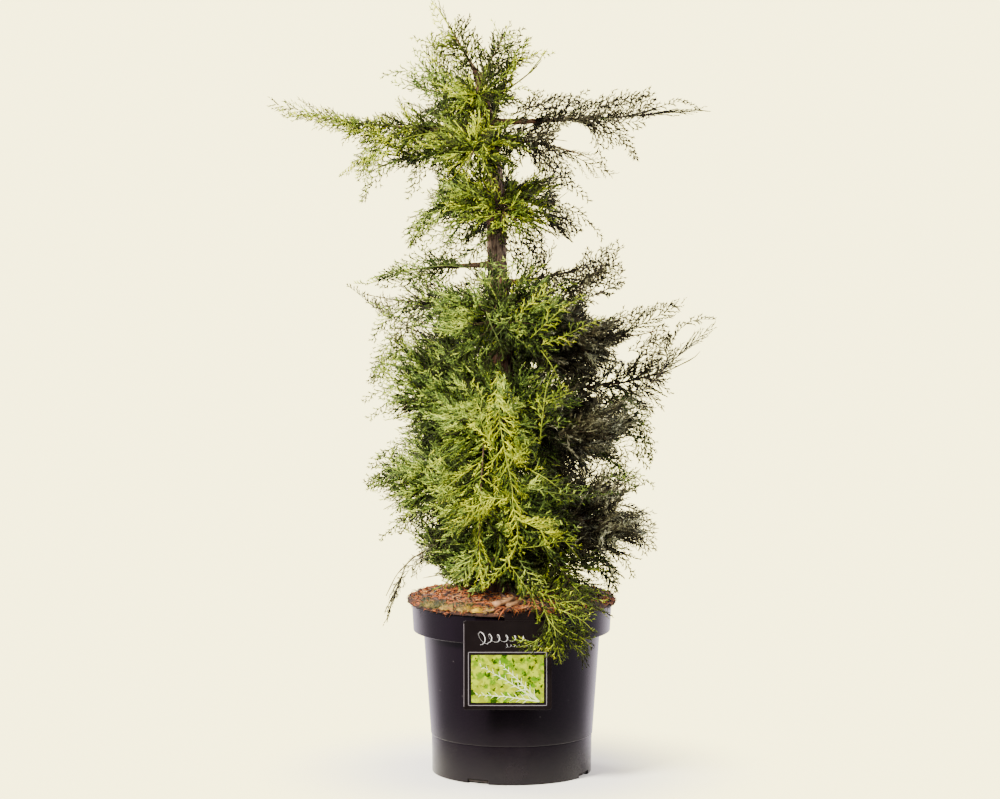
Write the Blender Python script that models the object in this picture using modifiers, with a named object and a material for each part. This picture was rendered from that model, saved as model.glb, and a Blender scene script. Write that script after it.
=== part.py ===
"""A juniper trained as a spiral topiary and grown out feathery, in its black nursery pot.

Blender script, metres, +Z up. The origin is the centre of the pot's flat underside and -Y is the
front, where the plant label hangs. A bearing of 0 degrees points to the front, 90 to the right (+X).
"""

import math
import random
from collections import namedtuple

import bmesh
import bpy
import numpy as np
from mathutils import Matrix, Vector, noise

MM = 0.001
WELD = 0.01 * MM  # corners this close are one, as where a curve's caps meet its sides
WELD_FUSED = 0.0001 * MM  # after a union, whose true corners can lie very close
WELD_TEST = 0.001 * MM
GAP = 0.3 * MM  # touching pieces stay this far apart
SEED = 17

# ---------------------------------------------------------------- driving dimensions

POT_HEIGHT = 233 * MM
POT_WALL = 2 * MM
POT_STEPS = 28  # facets round the pot
BASE_RADIUS = 109 * MM
SHOULDER_HEIGHT = 54 * MM  # small ledge above the stacking base
SHOULDER_RADIUS = 111.5 * MM
BODY_RADIUS = 120.5 * MM  # just under the collar
COLLAR_RADIUS = 136.5 * MM
COLLAR_HEIGHT = 38 * MM
NOTCH_COUNT = 4
NOTCH_FIRST_BEARING = -25  # degrees
NOTCH_SIZE = (31 * MM, 18 * MM, 6.5 * MM)  # wide, deep, high

SOIL_TOP = POT_HEIGHT - 12 * MM
GROUND = POT_HEIGHT + 14 * MM  # top of the mulch, where the trunk's flat cut stands
MULCH_FLAT_RADIUS = 42 * MM
MULCH_OVERHANG = 6 * MM  # the heap lies this far over the collar's edge
MULCH_ROUGHNESS = 3 * MM

LABEL_SIZE = (118 * MM, 120 * MM)
LABEL_THICKNESS = 0.9 * MM
LABEL_CENTRE_X = -6 * MM
LABEL_TOP = POT_HEIGHT - 3 * MM
LABEL_CORNER = 4 * MM
HANGER_WIDTH = 40 * MM
HANGER_OFFSET_X = 16 * MM  # the strap is right of the card's middle
STRAP_THICKNESS = 0.8 * MM
STRAP_DROP = 22 * MM  # how far it reaches down behind the card
STRAP_OVER = 20 * MM  # how far it lies over the mulch

# height above the ground, sideways lean and radius of the trunk, whose foot is upright
TRUNK_LINE = (
    (GAP, -4 * MM, 26 * MM),
    (14 * MM, -4 * MM, 21 * MM),
    (45 * MM, -5 * MM, 18.5 * MM),
    (160 * MM, -9 * MM, 17 * MM),
    (320 * MM, -14 * MM, 15 * MM),
    (480 * MM, -21 * MM, 13 * MM),
    (580 * MM, -24 * MM, 11 * MM),
    (660 * MM, -35 * MM, 7.5 * MM),
    (710 * MM, -50 * MM, 4.5 * MM),
)

# ---------------------------------------------------------------- boughs and their foliage

# height where it leaves the trunk, above the ground, bearing, reach from the trunk's axis, rise of
# the tip above the foot, bend (0 straight, 1 leaves level and turns late), half-width across,
# half-width up and down, bare share of its length, number of shoots, dense core or not, tint.
# Millimetres and degrees.
Bough = namedtuple(
    "Bough", "name height bearing reach rise bend across deep bare shoots dense tint"
)
LOOSE_BOUGHS = (
    Bough("top_upright", 700, 62, 52, 78, 0.1, 56, 50, 0, 6, False, "bright"),
    Bough("top_right", 672, 88, 90, 66, 0.3, 62, 54, 0, 7, False, "bright"),
    Bough("top_left", 664, 280, 136, 46, 0.2, 66, 56, 0, 8, False, "fresh"),
    Bough("top_front", 668, 350, 108, 36, 0.3, 66, 56, 0, 8, False, "bright"),
    Bough("top_back", 664, 176, 124, 44, 0.3, 70, 56, 0, 8, False, "fresh"),
    Bough("upper_left", 628, 271, 300, 38, 0.6, 80, 56, 0.10, 13, False, "bright"),
    Bough("upper_left_low", 604, 250, 216, -74, 0.8, 80, 60, 0.08, 9, False, "fresh"),
    Bough("upper_right", 640, 92, 292, 20, 0.5, 70, 54, 0.20, 11, False, "shaded"),
    Bough("upper_right_low", 618, 66, 178, -50, 0.7, 70, 56, 0.10, 9, False, "shaded"),
    Bough("upper_front", 620, 346, 140, -66, 0.8, 80, 58, 0, 10, False, "bright"),
    Bough("upper_back_left", 630, 212, 226, 0, 0.5, 84, 60, 0, 10, False, "fresh"),
    Bough("upper_back_right", 620, 142, 204, -14, 0.5, 84, 60, 0, 10, False, "shaded"),
    Bough("middle_left", 544, 284, 124, -50, 0.7, 70, 42, 0, 9, True, "fresh"),
    Bough("middle_front", 534, 8, 112, -34, 0.7, 66, 40, 0, 8, True, "bright"),
    Bough("middle_right", 540, 90, 146, -58, 0.7, 66, 40, 0, 9, True, "shaded"),
    Bough("middle_back", 536, 188, 144, -40, 0.7, 76, 42, 0, 9, True, "fresh"),
    Bough("shoulder_left", 448, 282, 180, -12, 0.4, 62, 44, 0.24, 8, False, "fresh"),
    Bough("shoulder_left_low", 392, 262, 212, 30, 0.9, 62, 50, 0.14, 8, False, "shaded"),
    Bough("shoulder_right", 424, 96, 160, 48, 0.6, 76, 60, 0.10, 10, False, "shaded"),
    Bough("sweep_right_high", 344, 80, 252, 46, 1.0, 58, 50, 0.12, 9, False, "shaded"),
    Bough("sweep_right_low", 276, 94, 292, 96, 1.0, 66, 60, 0.12, 11, False, "shaded"),
    Bough("cascade", 300, 350, 180, -276, 0.9, 66, 54, 0.10, 12, False, "bright"),
    Bough("hem_left", 80, 274, 172, -118, 0.9, 52, 40, 0.10, 6, False, "shaded"),
    Bough("hem_spill", 76, 34, 186, -158, 1.0, 62, 48, 0.12, 10, False, "bright"),
    Bough("hem_front", 58, 346, 150, -16, 0.8, 74, 44, 0, 8, False, "fresh"),
)
LEADER_TOP = Vector((-109 * MM, -6 * MM, GROUND + 812 * MM))

# the dense masses wind down round the trunk as one spiral ribbon, five to a turn
SPIRAL_COUNT = 15
SPIRAL_TOP = 384  # height of the first one's foot, at the front
SPIRAL_DROP = 25  # from each to the next
SPIRAL_TURN = 72
SPIRAL_REACH = (168, 186)  # of the first and of the last
SPIRAL_REACH_RIGHT = 14  # more on the right, and as much less on the left
SPIRAL_RISE = -26
SPIRAL_ACROSS = 114
SPIRAL_DEEP = 70
SPIRAL_SHOOTS = 11
SPIRAL_TINTS = ("fresh", "shaded", "shaded", "fresh", "fresh")  # by place in a turn

TRUNK_SIDES = 12
LIMB_SIDES = 6
TWIG_SIDES = 3
STEM_RADIUS = 2.4 * MM  # a mass's stem at its foot
STEM_GROWTH = 0.004  # more for each unit of reach
BOUGH_RADIUS = 3 * MM
BOUGH_GROWTH = 0.006
BOUGH_TIP = 0.65  # a bough's radius where its foliage starts, against its foot
TWIG_RADIUS = 1.3 * MM
TIP_SHARE = 0.45  # radius at a stem's end against its foot
AXIS_POINTS = 7
STEM_POINTS = 4
BOUGH_POINTS = 3
STEM_SHANK = 3 * MM  # a stem's start heads on in line with the limb before it, so both ends lie flat
CORE_SHARE = (0.40, 0.95, 0.95)  # half sizes against the bough's reach and its two half-widths
CORE_PLACE = 0.50  # share of the stem where a core is centred
CORE_MARGIN = 3 * MM
CORE_LIMB_MARGIN = 14 * MM  # wide, as flat faces between a core's corners run closer to a limb

# a spray: a flat blade cut to the outline of a feathery shoot, drawn 1 long along +X. Its corners in
# turn are the foot, a barb, the hollow before it, the tip, and the hollow and barb of the other side.
SPRAY_FOOT = 0.022
SPRAY_OUTLINE = (
    (0, -SPRAY_FOOT),
    (0.50, -0.25),
    (0.53, -0.04),
    (1, 0),
    (0.67, 0.035),
    (0.72, 0.21),
    (0, SPRAY_FOOT),
)
SPRAY_THICKNESS = 0.024  # of its length
EDGE_TESTS = 5  # places tested along each edge of its outline and along its middle
SPRAY_SUNK = 5 * MM  # how far a spray's root is sunk in its twig or core
SPRAY_LENGTH = (74 * MM, 118 * MM)  # shortest and longest
CORE_SPRAY_SHARE = 0.8  # sprays that stand out of a core are shorter
CORE_LOOSE = 0.7  # how far they lie over the core
TIP_WIDTH = 0.6  # the spray at a loose bough's tip is slimmer
FORK_REACH = 280  # boughs of this reach or more have forked shoots, twigs with three sprays each
FORK_EVERY = 5
TWIG_SHARE = 0.45  # of a forked shoot's length that is twig
FORK_ANGLE = math.radians(42)
SIDE_SHARE = 0.62  # length of a fork's side sprays against its own
GOLDEN_ANGLE = math.radians(137.5)
SHOOTS_FROM = 0.10  # share of the stem where its shoots start, and where they end
SHOOTS_TO = 0.96
SHOOT_LEAN = (42, 58)  # degrees off the stem, least and most
SHOOT_LEAN_MORE = 16  # degrees more at the stem's foot
SHOOT_ROLL = (0.5, 1.3)
CORE_DIRECTIONS = 1.5  # directions tried for each shoot that a core is to carry
CORE_BACK = -0.3  # none stands back towards the trunk more than this
CORE_ROLL = 0.5
CORE_OUTWARD = 0.55
CORE_FORWARD = 0.3
SQUEEZE = ((1.0, 0.0), (0.9, 0.35), (0.75, 0.6), (0.6, 0.9))  # length and forward pull, tried in turn
TRIES = 4  # a union that leaves a doubled edge is drawn again

OWN_MARGIN = 1.6 * MM  # a spray stays this much nearer to its own bough than to any other
LIMB_MARGIN = 1.5 * MM
POT_KEEP_RADIUS = COLLAR_RADIUS + 11 * MM
POT_KEEP_HEIGHT = GROUND + 4 * MM
LABEL_KEEP_Y = -(COLLAR_RADIUS + 12 * MM)
LABEL_KEEP_X = LABEL_SIZE[0] / 2 + 6 * MM

# colour, roughness and metallic value of each material
MATERIALS = {
    "pot": ((0.022, 0.020, 0.024), 0.38, 0.0),
    "soil": ((0.050, 0.028, 0.018), 0.95, 0.0),
    "mulch": ((0.230, 0.095, 0.045), 0.95, 0.0),
    "label": ((0.020, 0.014, 0.014), 0.35, 0.0),
    "bark": ((0.170, 0.095, 0.060), 0.90, 0.0),
    "bright": ((0.300, 0.400, 0.045), 0.60, 0.0),
    "fresh": ((0.110, 0.210, 0.045), 0.60, 0.0),
    "shaded": ((0.060, 0.110, 0.045), 0.65, 0.0),
}


# ---------------------------------------------------------------- scene, materials, collections


def clear_scene():
    for obj in list(bpy.data.objects):
        bpy.data.objects.remove(obj)


def new_collection(name, parent=None):
    made = bpy.data.collections.new(name)
    (parent or bpy.context.scene.collection).children.link(made)
    return made


def material(name):
    found = bpy.data.materials.get(name)
    if found:
        return found
    colour, roughness, metallic = MATERIALS[name]
    made = bpy.data.materials.new(name)
    made.use_nodes = True
    shader = made.node_tree.nodes["Principled BSDF"]
    shader.inputs["Base Color"].default_value = (*colour, 1)
    shader.inputs["Roughness"].default_value = roughness
    shader.inputs["Metallic"].default_value = metallic
    return made


def add_mesh(name, mesh, collection, finish=None):
    obj = bpy.data.objects.new(name, mesh)
    collection.objects.link(obj)
    if finish:
        mesh.materials.clear()
        mesh.materials.append(material(finish))
    return obj


def frozen(obj, weld=WELD, face_outward=True):
    """The object with its curve or modifiers turned into a plain welded mesh, under the same name."""
    bpy.context.view_layer.update()
    evaluated = obj.evaluated_get(bpy.context.evaluated_depsgraph_get())
    mesh = bpy.data.meshes.new_from_object(evaluated)
    shape = bmesh.new()
    shape.from_mesh(mesh)
    bmesh.ops.remove_doubles(shape, verts=shape.verts, dist=weld)
    if face_outward:
        bmesh.ops.recalc_face_normals(shape, faces=shape.faces)
    shape.to_mesh(mesh)
    shape.free()
    name, place, home = obj.name, obj.matrix_world.copy(), obj.users_collection[0]
    finish = [slot.material for slot in obj.material_slots]
    bpy.data.objects.remove(obj)
    made = add_mesh(name, mesh, home)
    made.matrix_world = place
    mesh.materials.clear()
    for one in finish:
        mesh.materials.append(one)
    return made


def turned(name, profile, collection, finish):
    """A profile of (radius, height), from the axis over the outer side and back to the axis."""
    mesh = bpy.data.meshes.new(name)
    corners = [(radius, 0, height) for radius, height in profile]
    mesh.from_pydata(corners, [(i, i + 1) for i in range(len(corners) - 1)], [])
    obj = add_mesh(name, mesh, collection, finish)
    screw = obj.modifiers.new("turn", "SCREW")
    screw.steps = screw.render_steps = POT_STEPS
    screw.use_merge_vertices = True
    screw.merge_threshold = 0.0001
    return obj


def shade_round(obj, sharp_degrees=35):
    obj.data.shade_smooth()
    obj.data.set_sharp_from_angle(angle=math.radians(sharp_degrees))


# ---------------------------------------------------------------- pot, soil and mulch


def pot_outside():
    """Radius and height down the pot's outer side, from the collar's top edge to the base."""
    collar_foot = POT_HEIGHT - COLLAR_HEIGHT
    return [
        (COLLAR_RADIUS - 0.8 * MM, POT_HEIGHT),
        (COLLAR_RADIUS, POT_HEIGHT - 1.2 * MM),
        (COLLAR_RADIUS - 2 * MM, collar_foot),
        (BODY_RADIUS, collar_foot - 2 * MM),
        (SHOULDER_RADIUS, SHOULDER_HEIGHT),
        (BASE_RADIUS + 0.8 * MM, SHOULDER_HEIGHT - 2 * MM),
        (BASE_RADIUS, 1.2 * MM),
        (BASE_RADIUS - 1.2 * MM, 0),
    ]


def pot_inside():
    """Radius and height up the pot's inner side, from its floor to the collar's top edge."""
    collar_foot = POT_HEIGHT - COLLAR_HEIGHT
    return [
        (BASE_RADIUS - POT_WALL, POT_WALL),
        (BASE_RADIUS - POT_WALL, SHOULDER_HEIGHT - 2 * MM),
        (BODY_RADIUS - POT_WALL, collar_foot),
        (COLLAR_RADIUS - 2 * MM - POT_WALL, collar_foot + 2 * MM),
        (COLLAR_RADIUS - POT_WALL, POT_HEIGHT),
    ]


def make_pot(parts, cutters):
    profile = [(0, POT_WALL), *pot_inside(), *pot_outside(), (0, 0)]
    pot = frozen(turned("pot", profile, parts, "pot"))
    wide, deep, high = NOTCH_SIZE
    for index in range(NOTCH_COUNT):
        bearing = math.radians(NOTCH_FIRST_BEARING + 360 / NOTCH_COUNT * index)
        shape = bmesh.new()
        bmesh.ops.create_cube(shape, size=1)
        bmesh.ops.scale(shape, vec=(wide, deep, 2 * high), verts=shape.verts)
        mesh = bpy.data.meshes.new("notch")
        shape.to_mesh(mesh)
        shape.free()
        notch = add_mesh(f"notch_{index}", mesh, cutters)
        notch.location = BASE_RADIUS * toward(bearing)
        notch.rotation_euler.z = bearing
        notch.hide_render = True
        notch.display_type = "WIRE"
        cut = pot.modifiers.new("drainage notch", "BOOLEAN")
        cut.operation = "DIFFERENCE"
        cut.object = notch
    shade_round(pot)


def make_soil(parts):
    """The root ball under the mulch: the pot's inside, a little smaller all round."""
    floor = POT_WALL + GAP
    inside = pot_inside()
    side = [(radius - GAP, height) for radius, height in inside[1:-1]]
    top_radius = COLLAR_RADIUS - 2 * MM - POT_WALL - GAP
    top = [(0, SOIL_TOP), (top_radius, SOIL_TOP)]
    bottom = [(inside[0][0] - GAP, floor), (0, floor)]
    shade_round(turned("soil", [*top, *reversed(side), *bottom], parts, "soil"))


def make_mulch(parts):
    """A loose heap of coir and bark, level round the trunk, that lies on the collar's edge."""
    lip = POT_HEIGHT + GAP
    edge = COLLAR_RADIUS + MULCH_OVERHANG
    inner = COLLAR_RADIUS - 2 * MM - POT_WALL - 2 * GAP
    profile = [
        (0, GROUND),
        (MULCH_FLAT_RADIUS, GROUND),
        (84 * MM, GROUND - 2 * MM),
        (124 * MM, GROUND - 5 * MM),
        (edge - 3 * MM, GROUND - 9 * MM),
        (edge, lip + 2 * MM),
        (edge - 2 * MM, lip),
        (inner, lip),
        (inner, SOIL_TOP + GAP),
        (0, SOIL_TOP + GAP),
    ]
    mulch = frozen(turned("mulch", profile, parts, "mulch"))
    for vertex in mulch.data.vertices:
        radius = vertex.co.xy.length
        if MULCH_FLAT_RADIUS * 1.2 < radius < 115 * MM and vertex.co.z > lip + 2 * MM:
            vertex.co.z += MULCH_ROUGHNESS * noise.noise(vertex.co * 32)
    shade_round(mulch, 60)


# ---------------------------------------------------------------- plant label


def rounded_rectangle(wide, high, corner, corner_steps=4):
    """Corners of an upright rectangle about the origin, anticlockwise, with round corners."""
    made = []
    for quarter, (sx, sz) in enumerate(((1, 1), (-1, 1), (-1, -1), (1, -1))):
        for step in range(corner_steps + 1):
            turn = math.radians(90 * (quarter + step / corner_steps))
            made.append(
                (
                    sx * (wide / 2 - corner) + corner * math.cos(turn),
                    sz * (high / 2 - corner) + corner * math.sin(turn),
                )
            )
    return made


def flat_plate(name, outline, thickness, collection, finish):
    """A flat outline with thickness, from a filled 2D curve."""
    curve = bpy.data.curves.new(name, "CURVE")
    curve.dimensions = "2D"
    curve.fill_mode = "BOTH"
    curve.extrude = thickness / 2
    spline = curve.splines.new("POLY")
    spline.points.add(len(outline) - 1)
    for point, (x, y) in zip(spline.points, outline):
        point.co = (x, y, 0, 1)
    spline.use_cyclic_u = True
    obj = bpy.data.objects.new(name, curve)
    collection.objects.link(obj)
    curve.materials.append(material(finish))
    return obj


def make_label(parts):
    """A black card that hangs before the collar, by a strap bent over the edge of the mulch."""
    edge = COLLAR_RADIUS + MULCH_OVERHANG
    strap_y = -(edge + 0.5 * MM + STRAP_THICKNESS)  # its outer side
    wide, high = LABEL_SIZE
    card = flat_plate(
        "label_card", rounded_rectangle(wide, high, LABEL_CORNER), LABEL_THICKNESS, parts, "label"
    )
    card.rotation_euler.x = math.radians(90)
    card.location = (
        LABEL_CENTRE_X,
        strap_y - GAP - LABEL_THICKNESS / 2,
        LABEL_TOP - high / 2,
    )
    frozen(card)

    bend = GROUND - 7 * MM
    low = LABEL_TOP - STRAP_DROP
    end_y, end_z = -(edge - STRAP_OVER), GROUND - 1 * MM
    outline = [
        (strap_y, low),
        (strap_y + STRAP_THICKNESS, low),
        (strap_y + STRAP_THICKNESS, bend - STRAP_THICKNESS),
        (end_y, end_z - STRAP_THICKNESS),
        (end_y, end_z),
        (strap_y, bend),
    ]
    hanger = flat_plate("label_hanger", outline, HANGER_WIDTH, parts, "label")
    hanger.rotation_euler = (math.radians(90), 0, math.radians(90))
    hanger.location.x = LABEL_CENTRE_X + HANGER_OFFSET_X
    frozen(hanger)


# ---------------------------------------------------------------- limbs


def toward(bearing):
    """Level unit vector on a bearing in radians: 0 is the front (-Y), a quarter turn is the right (+X)."""
    return Vector((math.sin(bearing), -math.cos(bearing), 0))


def trunk_at(height):
    """Centre and radius of the trunk at a height above the ground."""
    heights, leans, radii = zip(*TRUNK_LINE)
    lean = float(np.interp(height, heights, leans))
    return Vector((lean, 0, GROUND + height)), float(np.interp(height, heights, radii))


def trunk_slope(height, out):
    """How fast the trunk's surface on one side moves outward with height, from its lean and taper."""
    step = 10 * MM
    low, low_radius = trunk_at(height - step)
    high, high_radius = trunk_at(height + step)
    return ((high - low).dot(out) + high_radius - low_radius) / (2 * step)


def section(sides, guides):
    """A regular outline of radius 1 that limbs are swept with."""
    name = f"section_{sides}"
    if name in bpy.data.objects:
        return bpy.data.objects[name]
    curve = bpy.data.curves.new(name, "CURVE")
    spline = curve.splines.new("POLY")
    spline.points.add(sides - 1)
    for index, point in enumerate(spline.points):
        turn = 2 * math.pi * index / sides
        point.co = (math.cos(turn), math.sin(turn), 0, 1)
    spline.use_cyclic_u = True
    made = bpy.data.objects.new(name, curve)
    guides.objects.link(made)
    made.hide_render = True
    made.display_type = "WIRE"
    return made


def limb(name, points, radii, sides, collection, guides, finish="bark"):
    """A tapering limb through points: a curve swept with a regular section, as a closed mesh."""
    curve = bpy.data.curves.new(name, "CURVE")
    curve.dimensions = "3D"
    curve.bevel_mode = "OBJECT"
    curve.bevel_object = section(sides, guides)
    curve.use_fill_caps = True
    spline = curve.splines.new("POLY")
    spline.points.add(len(points) - 1)
    for point, place, radius in zip(spline.points, points, radii):
        point.co = (*place, 1)
        point.radius = radius
    obj = bpy.data.objects.new(name, curve)
    collection.objects.link(obj)
    curve.materials.append(material(finish))
    made = frozen(obj)
    made.data.shade_smooth()
    return made


def axes_along(direction):
    """Right-handed axes of a limb: forward, level to its side, and square to both."""
    forward = direction.normalized()
    side = Vector((0, 0, 1)).cross(forward)
    side = side.normalized() if side.length > 0.05 else Vector((0, 1, 0))
    return forward, side, forward.cross(side)


def bough_line(bough):
    """Centre line of a bough from the trunk's surface to its furthest tip, as AXIS_POINTS points."""
    centre, trunk_radius = trunk_at(bough.height * MM)
    out = toward(math.radians(bough.bearing))
    slope = math.atan2(bough.rise * (1 - bough.bend), bough.reach * (1 + bough.bend))
    tilt = abs(math.sin(slope)) + abs(trunk_slope(bough.height * MM, out))
    clear = trunk_radius + GAP + bough_radius(bough) * tilt
    run = bough.reach * MM - clear
    foot = centre + clear * out
    line = []
    for index in range(AXIS_POINTS):
        t = index / (AXIS_POINTS - 1)
        late = bough.bend * t * (1 - t)
        line.append(foot + run * (t + late) * out + Vector((0, 0, bough.rise * MM * (t - late))))
    return line


def bough_radius(bough):
    """A longer bough is thicker at its foot."""
    least = STEM_RADIUS if bough.bare == 0 else BOUGH_RADIUS
    return least + bough.reach * MM * BOUGH_GROWTH


def along(line, share):
    """Point and unit direction at a share of a line's length."""
    lengths = [(b - a).length for a, b in zip(line, line[1:])]
    target = share * sum(lengths)
    for a, b, length in zip(line, line[1:], lengths):
        if target <= length or b is line[-1]:
            return a.lerp(b, target / length), (b - a).normalized()
        target -= length


def part_of(line, start, end, count):
    return [along(line, start + (end - start) * index / (count - 1))[0] for index in range(count)]


# ---------------------------------------------------------------- each mass's own space


class Crown:
    """Knows each bough's line, so that a mass of foliage keeps to the space nearest its own."""

    def __init__(self, lines, limbs):
        self.lines = [np.array([tuple(p) for p in line]) for line in lines]
        self.limbs = limbs  # (points, radii) of every bare limb, the trunk among them

    @staticmethod
    def distance(points, line):
        """Distance of each point to a line of straight stretches, and where along it that is."""
        a, b = line[:-1], line[1:]
        span = b - a
        share = np.einsum("pij,ij->pi", points[:, None] - a[None], span) / (span**2).sum(1)
        share = np.clip(share, 0, 1)
        away = np.linalg.norm(points[:, None] - (a[None] + share[..., None] * span[None]), axis=2)
        nearest = away.argmin(1)
        rows = np.arange(len(points))
        return away[rows, nearest], nearest + share[rows, nearest]

    def inside(self, points, own, margin=OWN_MARGIN, limb_margin=LIMB_MARGIN):
        """Which points are in the space of mass `own`, clear of limbs, pot and label."""
        points = np.atleast_2d(np.array(points, float))
        mine, _ = self.distance(points, self.lines[own])
        fine = np.ones(len(points), bool)
        for index, line in enumerate(self.lines):
            if index != own:
                fine &= mine + margin < self.distance(points, line)[0]
        for line, radii in self.limbs:
            away, place = self.distance(points, line)
            fine &= away > np.interp(place, range(len(radii)), radii) + limb_margin
        radius = np.hypot(points[:, 0], points[:, 1])
        fine &= (radius > POT_KEEP_RADIUS) | (points[:, 2] > POT_KEEP_HEIGHT)
        by_label = (abs(points[:, 0] - LABEL_CENTRE_X) < LABEL_KEEP_X) & (points[:, 1] < 0)
        fine &= ~by_label | (points[:, 1] < LABEL_KEEP_Y) | (points[:, 2] > POT_KEEP_HEIGHT)
        return fine


# ---------------------------------------------------------------- sprays of needles


def spray_mesh():
    """The blade: its outline filled twice, back to back, and each side poked out to a low peak."""
    shape = bmesh.new()
    corners = [shape.verts.new((x, y, 0)) for x, y in SPRAY_OUTLINE]
    upper = shape.faces.new(corners)
    lower = bmesh.ops.duplicate(shape, geom=[upper])["geom"]
    lower = next(part for part in lower if isinstance(part, bmesh.types.BMFace))
    bmesh.ops.reverse_faces(shape, faces=[lower])
    shape.normal_update()
    peaks = bmesh.ops.poke(shape, faces=[upper, lower])["verts"]
    for peak, side in zip(peaks, (1, -1)):
        peak.co.z = side * SPRAY_THICKNESS / 2
    bmesh.ops.remove_doubles(shape, verts=shape.verts, dist=SPRAY_THICKNESS / 10)
    mesh = bpy.data.meshes.new("spray")
    shape.to_mesh(mesh)
    shape.free()
    return mesh


def spray_frame(foot, direction, length, roll, width=1.0):
    """Places a spray: +X along its direction, its flat side turned by roll about that."""
    forward, side, up = (Matrix.Rotation(roll, 3, direction) @ axis for axis in axes_along(direction))
    turn = Matrix((forward, side, up)).transposed().to_4x4()
    return Matrix.Translation(foot) @ turn @ Matrix.Diagonal((length, length * width, length, 1))


def roll_to_face(direction, outward):
    """The roll that turns a spray's flat side outward."""
    _, side, up = axes_along(direction)
    return math.atan2(-outward.dot(side), outward.dot(up))


def spray_points(frame):
    """Points along the spray's outline and middle line, to test against its space."""
    corners = [Vector((x, y, 0)) for x, y in SPRAY_OUTLINE]
    foot, tip = Vector((0, 0, 0)), Vector((1, 0, 0))
    edges = [*zip(corners, corners[1:] + corners[:1]), (foot, tip)]
    flat = [a.lerp(b, i / EDGE_TESTS) for a, b in edges for i in range(EDGE_TESTS)]
    lift = Vector((0, 0, SPRAY_THICKNESS / 2))
    return [frame @ (point + sign * lift) for point in flat for sign in (-1, 1)]


# ---------------------------------------------------------------- masses of foliage


def plume_share(t):
    """Relative shoot length along a stem: shorter at the foot and at the tip than in the middle."""
    return 0.66 + 0.34 * math.sin(math.pi * min(1, 0.15 + 0.9 * t))


Shoot = namedtuple("Shoot", "foot direction length roll width forked")


def tip_shoot(bough, line, stem, rng):
    """The shoot from a stem's end to the bough's furthest tip."""
    end, forward = along(stem, 1.0)
    foot = end - forward * 2 * SPRAY_SUNK
    onward = line[-1] - foot
    width = 1.0 if bough.dense else TIP_WIDTH
    return Shoot(foot, onward, onward.length, rng.uniform(0.5, 1.0), width, False)


def stem_shoots(bough, stem, rng):
    """The shoots round a feathery bough's stem."""
    for index in range(bough.shoots):
        t = 1 - (index + 0.5) / bough.shoots
        foot, forward = along(stem, SHOOTS_FROM + (SHOOTS_TO - SHOOTS_FROM) * t)
        forward, side, up = axes_along(forward)
        turn = index * GOLDEN_ANGLE + rng.uniform(-0.4, 0.4)
        out = side * math.cos(turn) * bough.across + up * math.sin(turn) * bough.deep
        lean = math.radians(rng.uniform(*SHOOT_LEAN) + SHOOT_LEAN_MORE * (1 - t))
        length = min(SPRAY_LENGTH[1], out.length * MM / math.sin(lean) * plume_share(t))
        direction = forward * math.cos(lean) + out.normalized() * math.sin(lean)
        roll = rng.choice((-1, 1)) * rng.uniform(*SHOOT_ROLL)
        forked = bough.reach >= FORK_REACH and index % FORK_EVERY == 1
        yield Shoot(foot, direction, length, roll, 1.0, forked)


def even_directions(count):
    """Directions spread evenly over a ball."""
    for index in range(count):
        height = 1 - 2 * (index + 0.5) / count
        turn = index * GOLDEN_ANGLE
        level = math.sqrt(1 - height * height)
        yield Vector((level * math.cos(turn), level * math.sin(turn), height))


def core_shoots(bough, stem, core, rng):
    """The shoots that stand out of a dense mass's core and lie loosely over it."""
    forward = along(stem, 1.0)[1]
    middle = sum((vertex.co for vertex in core.vertices), Vector()) / len(core.vertices)
    faces = [(face.center.copy(), (face.center - middle).normalized()) for face in core.polygons]
    for wanted in even_directions(int(bough.shoots * CORE_DIRECTIONS)):
        if wanted.dot(forward) < CORE_BACK:
            continue
        centre, outward = max(faces, key=lambda face: face[1].dot(wanted))
        faces.remove((centre, outward))
        loose = Vector([rng.uniform(-1, 1) for _ in range(3)])
        over = (loose - outward * loose.dot(outward)).normalized()
        direction = outward * CORE_OUTWARD + over * CORE_LOOSE + forward * CORE_FORWARD
        roll = roll_to_face(direction, outward) + rng.uniform(-CORE_ROLL, CORE_ROLL)
        length = rng.uniform(*SPRAY_LENGTH) * CORE_SPRAY_SHARE
        yield Shoot(centre - outward * SPRAY_SUNK, direction, length, roll, 1.0, False)


def core_mesh(bough, stem, crown, own):
    """A rough ball round the middle of the stem, each corner drawn in until it lies in its space."""
    shape = bmesh.new()
    bmesh.ops.create_icosphere(shape, subdivisions=2, radius=1)
    centre, forward = along(stem, CORE_PLACE)
    forward, side, up = axes_along(forward)
    half = [share * size * MM for share, size in zip(CORE_SHARE, (bough.reach, bough.across, bough.deep))]
    shares = np.linspace(0.1, 1.0, 46)
    for vertex in shape.verts:
        x, y, z = vertex.co
        full = forward * x * half[0] + side * y * half[1] + up * z * half[2]
        line_out = [tuple(centre + full * float(share)) for share in shares]
        fine = crown.inside(line_out, own, CORE_MARGIN, CORE_LIMB_MARGIN)
        clear = len(fine) if fine.all() else int(np.argmin(fine))
        vertex.co = centre + full * float(shares[max(0, clear - 2)])
    shape.normal_update()
    mesh = bpy.data.meshes.new("core")
    shape.to_mesh(mesh)
    shape.free()
    return mesh


def keep_main_body(obj):
    """Drops loose scraps, and fills sealed hollows by dropping their inner skins."""
    shape = bmesh.new()
    shape.from_mesh(obj.data)
    left, groups = set(shape.verts), []
    while left:
        reached, border = set(), {left.pop()}
        while border:
            reached |= border
            border = {e.other_vert(v) for v in border for e in v.link_edges} - reached
        left -= reached
        groups.append(reached)
    groups.sort(key=len)
    for group in groups[:-1]:
        bmesh.ops.delete(shape, geom=list(group), context="VERTS")
    shape.to_mesh(obj.data)
    shape.free()


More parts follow.
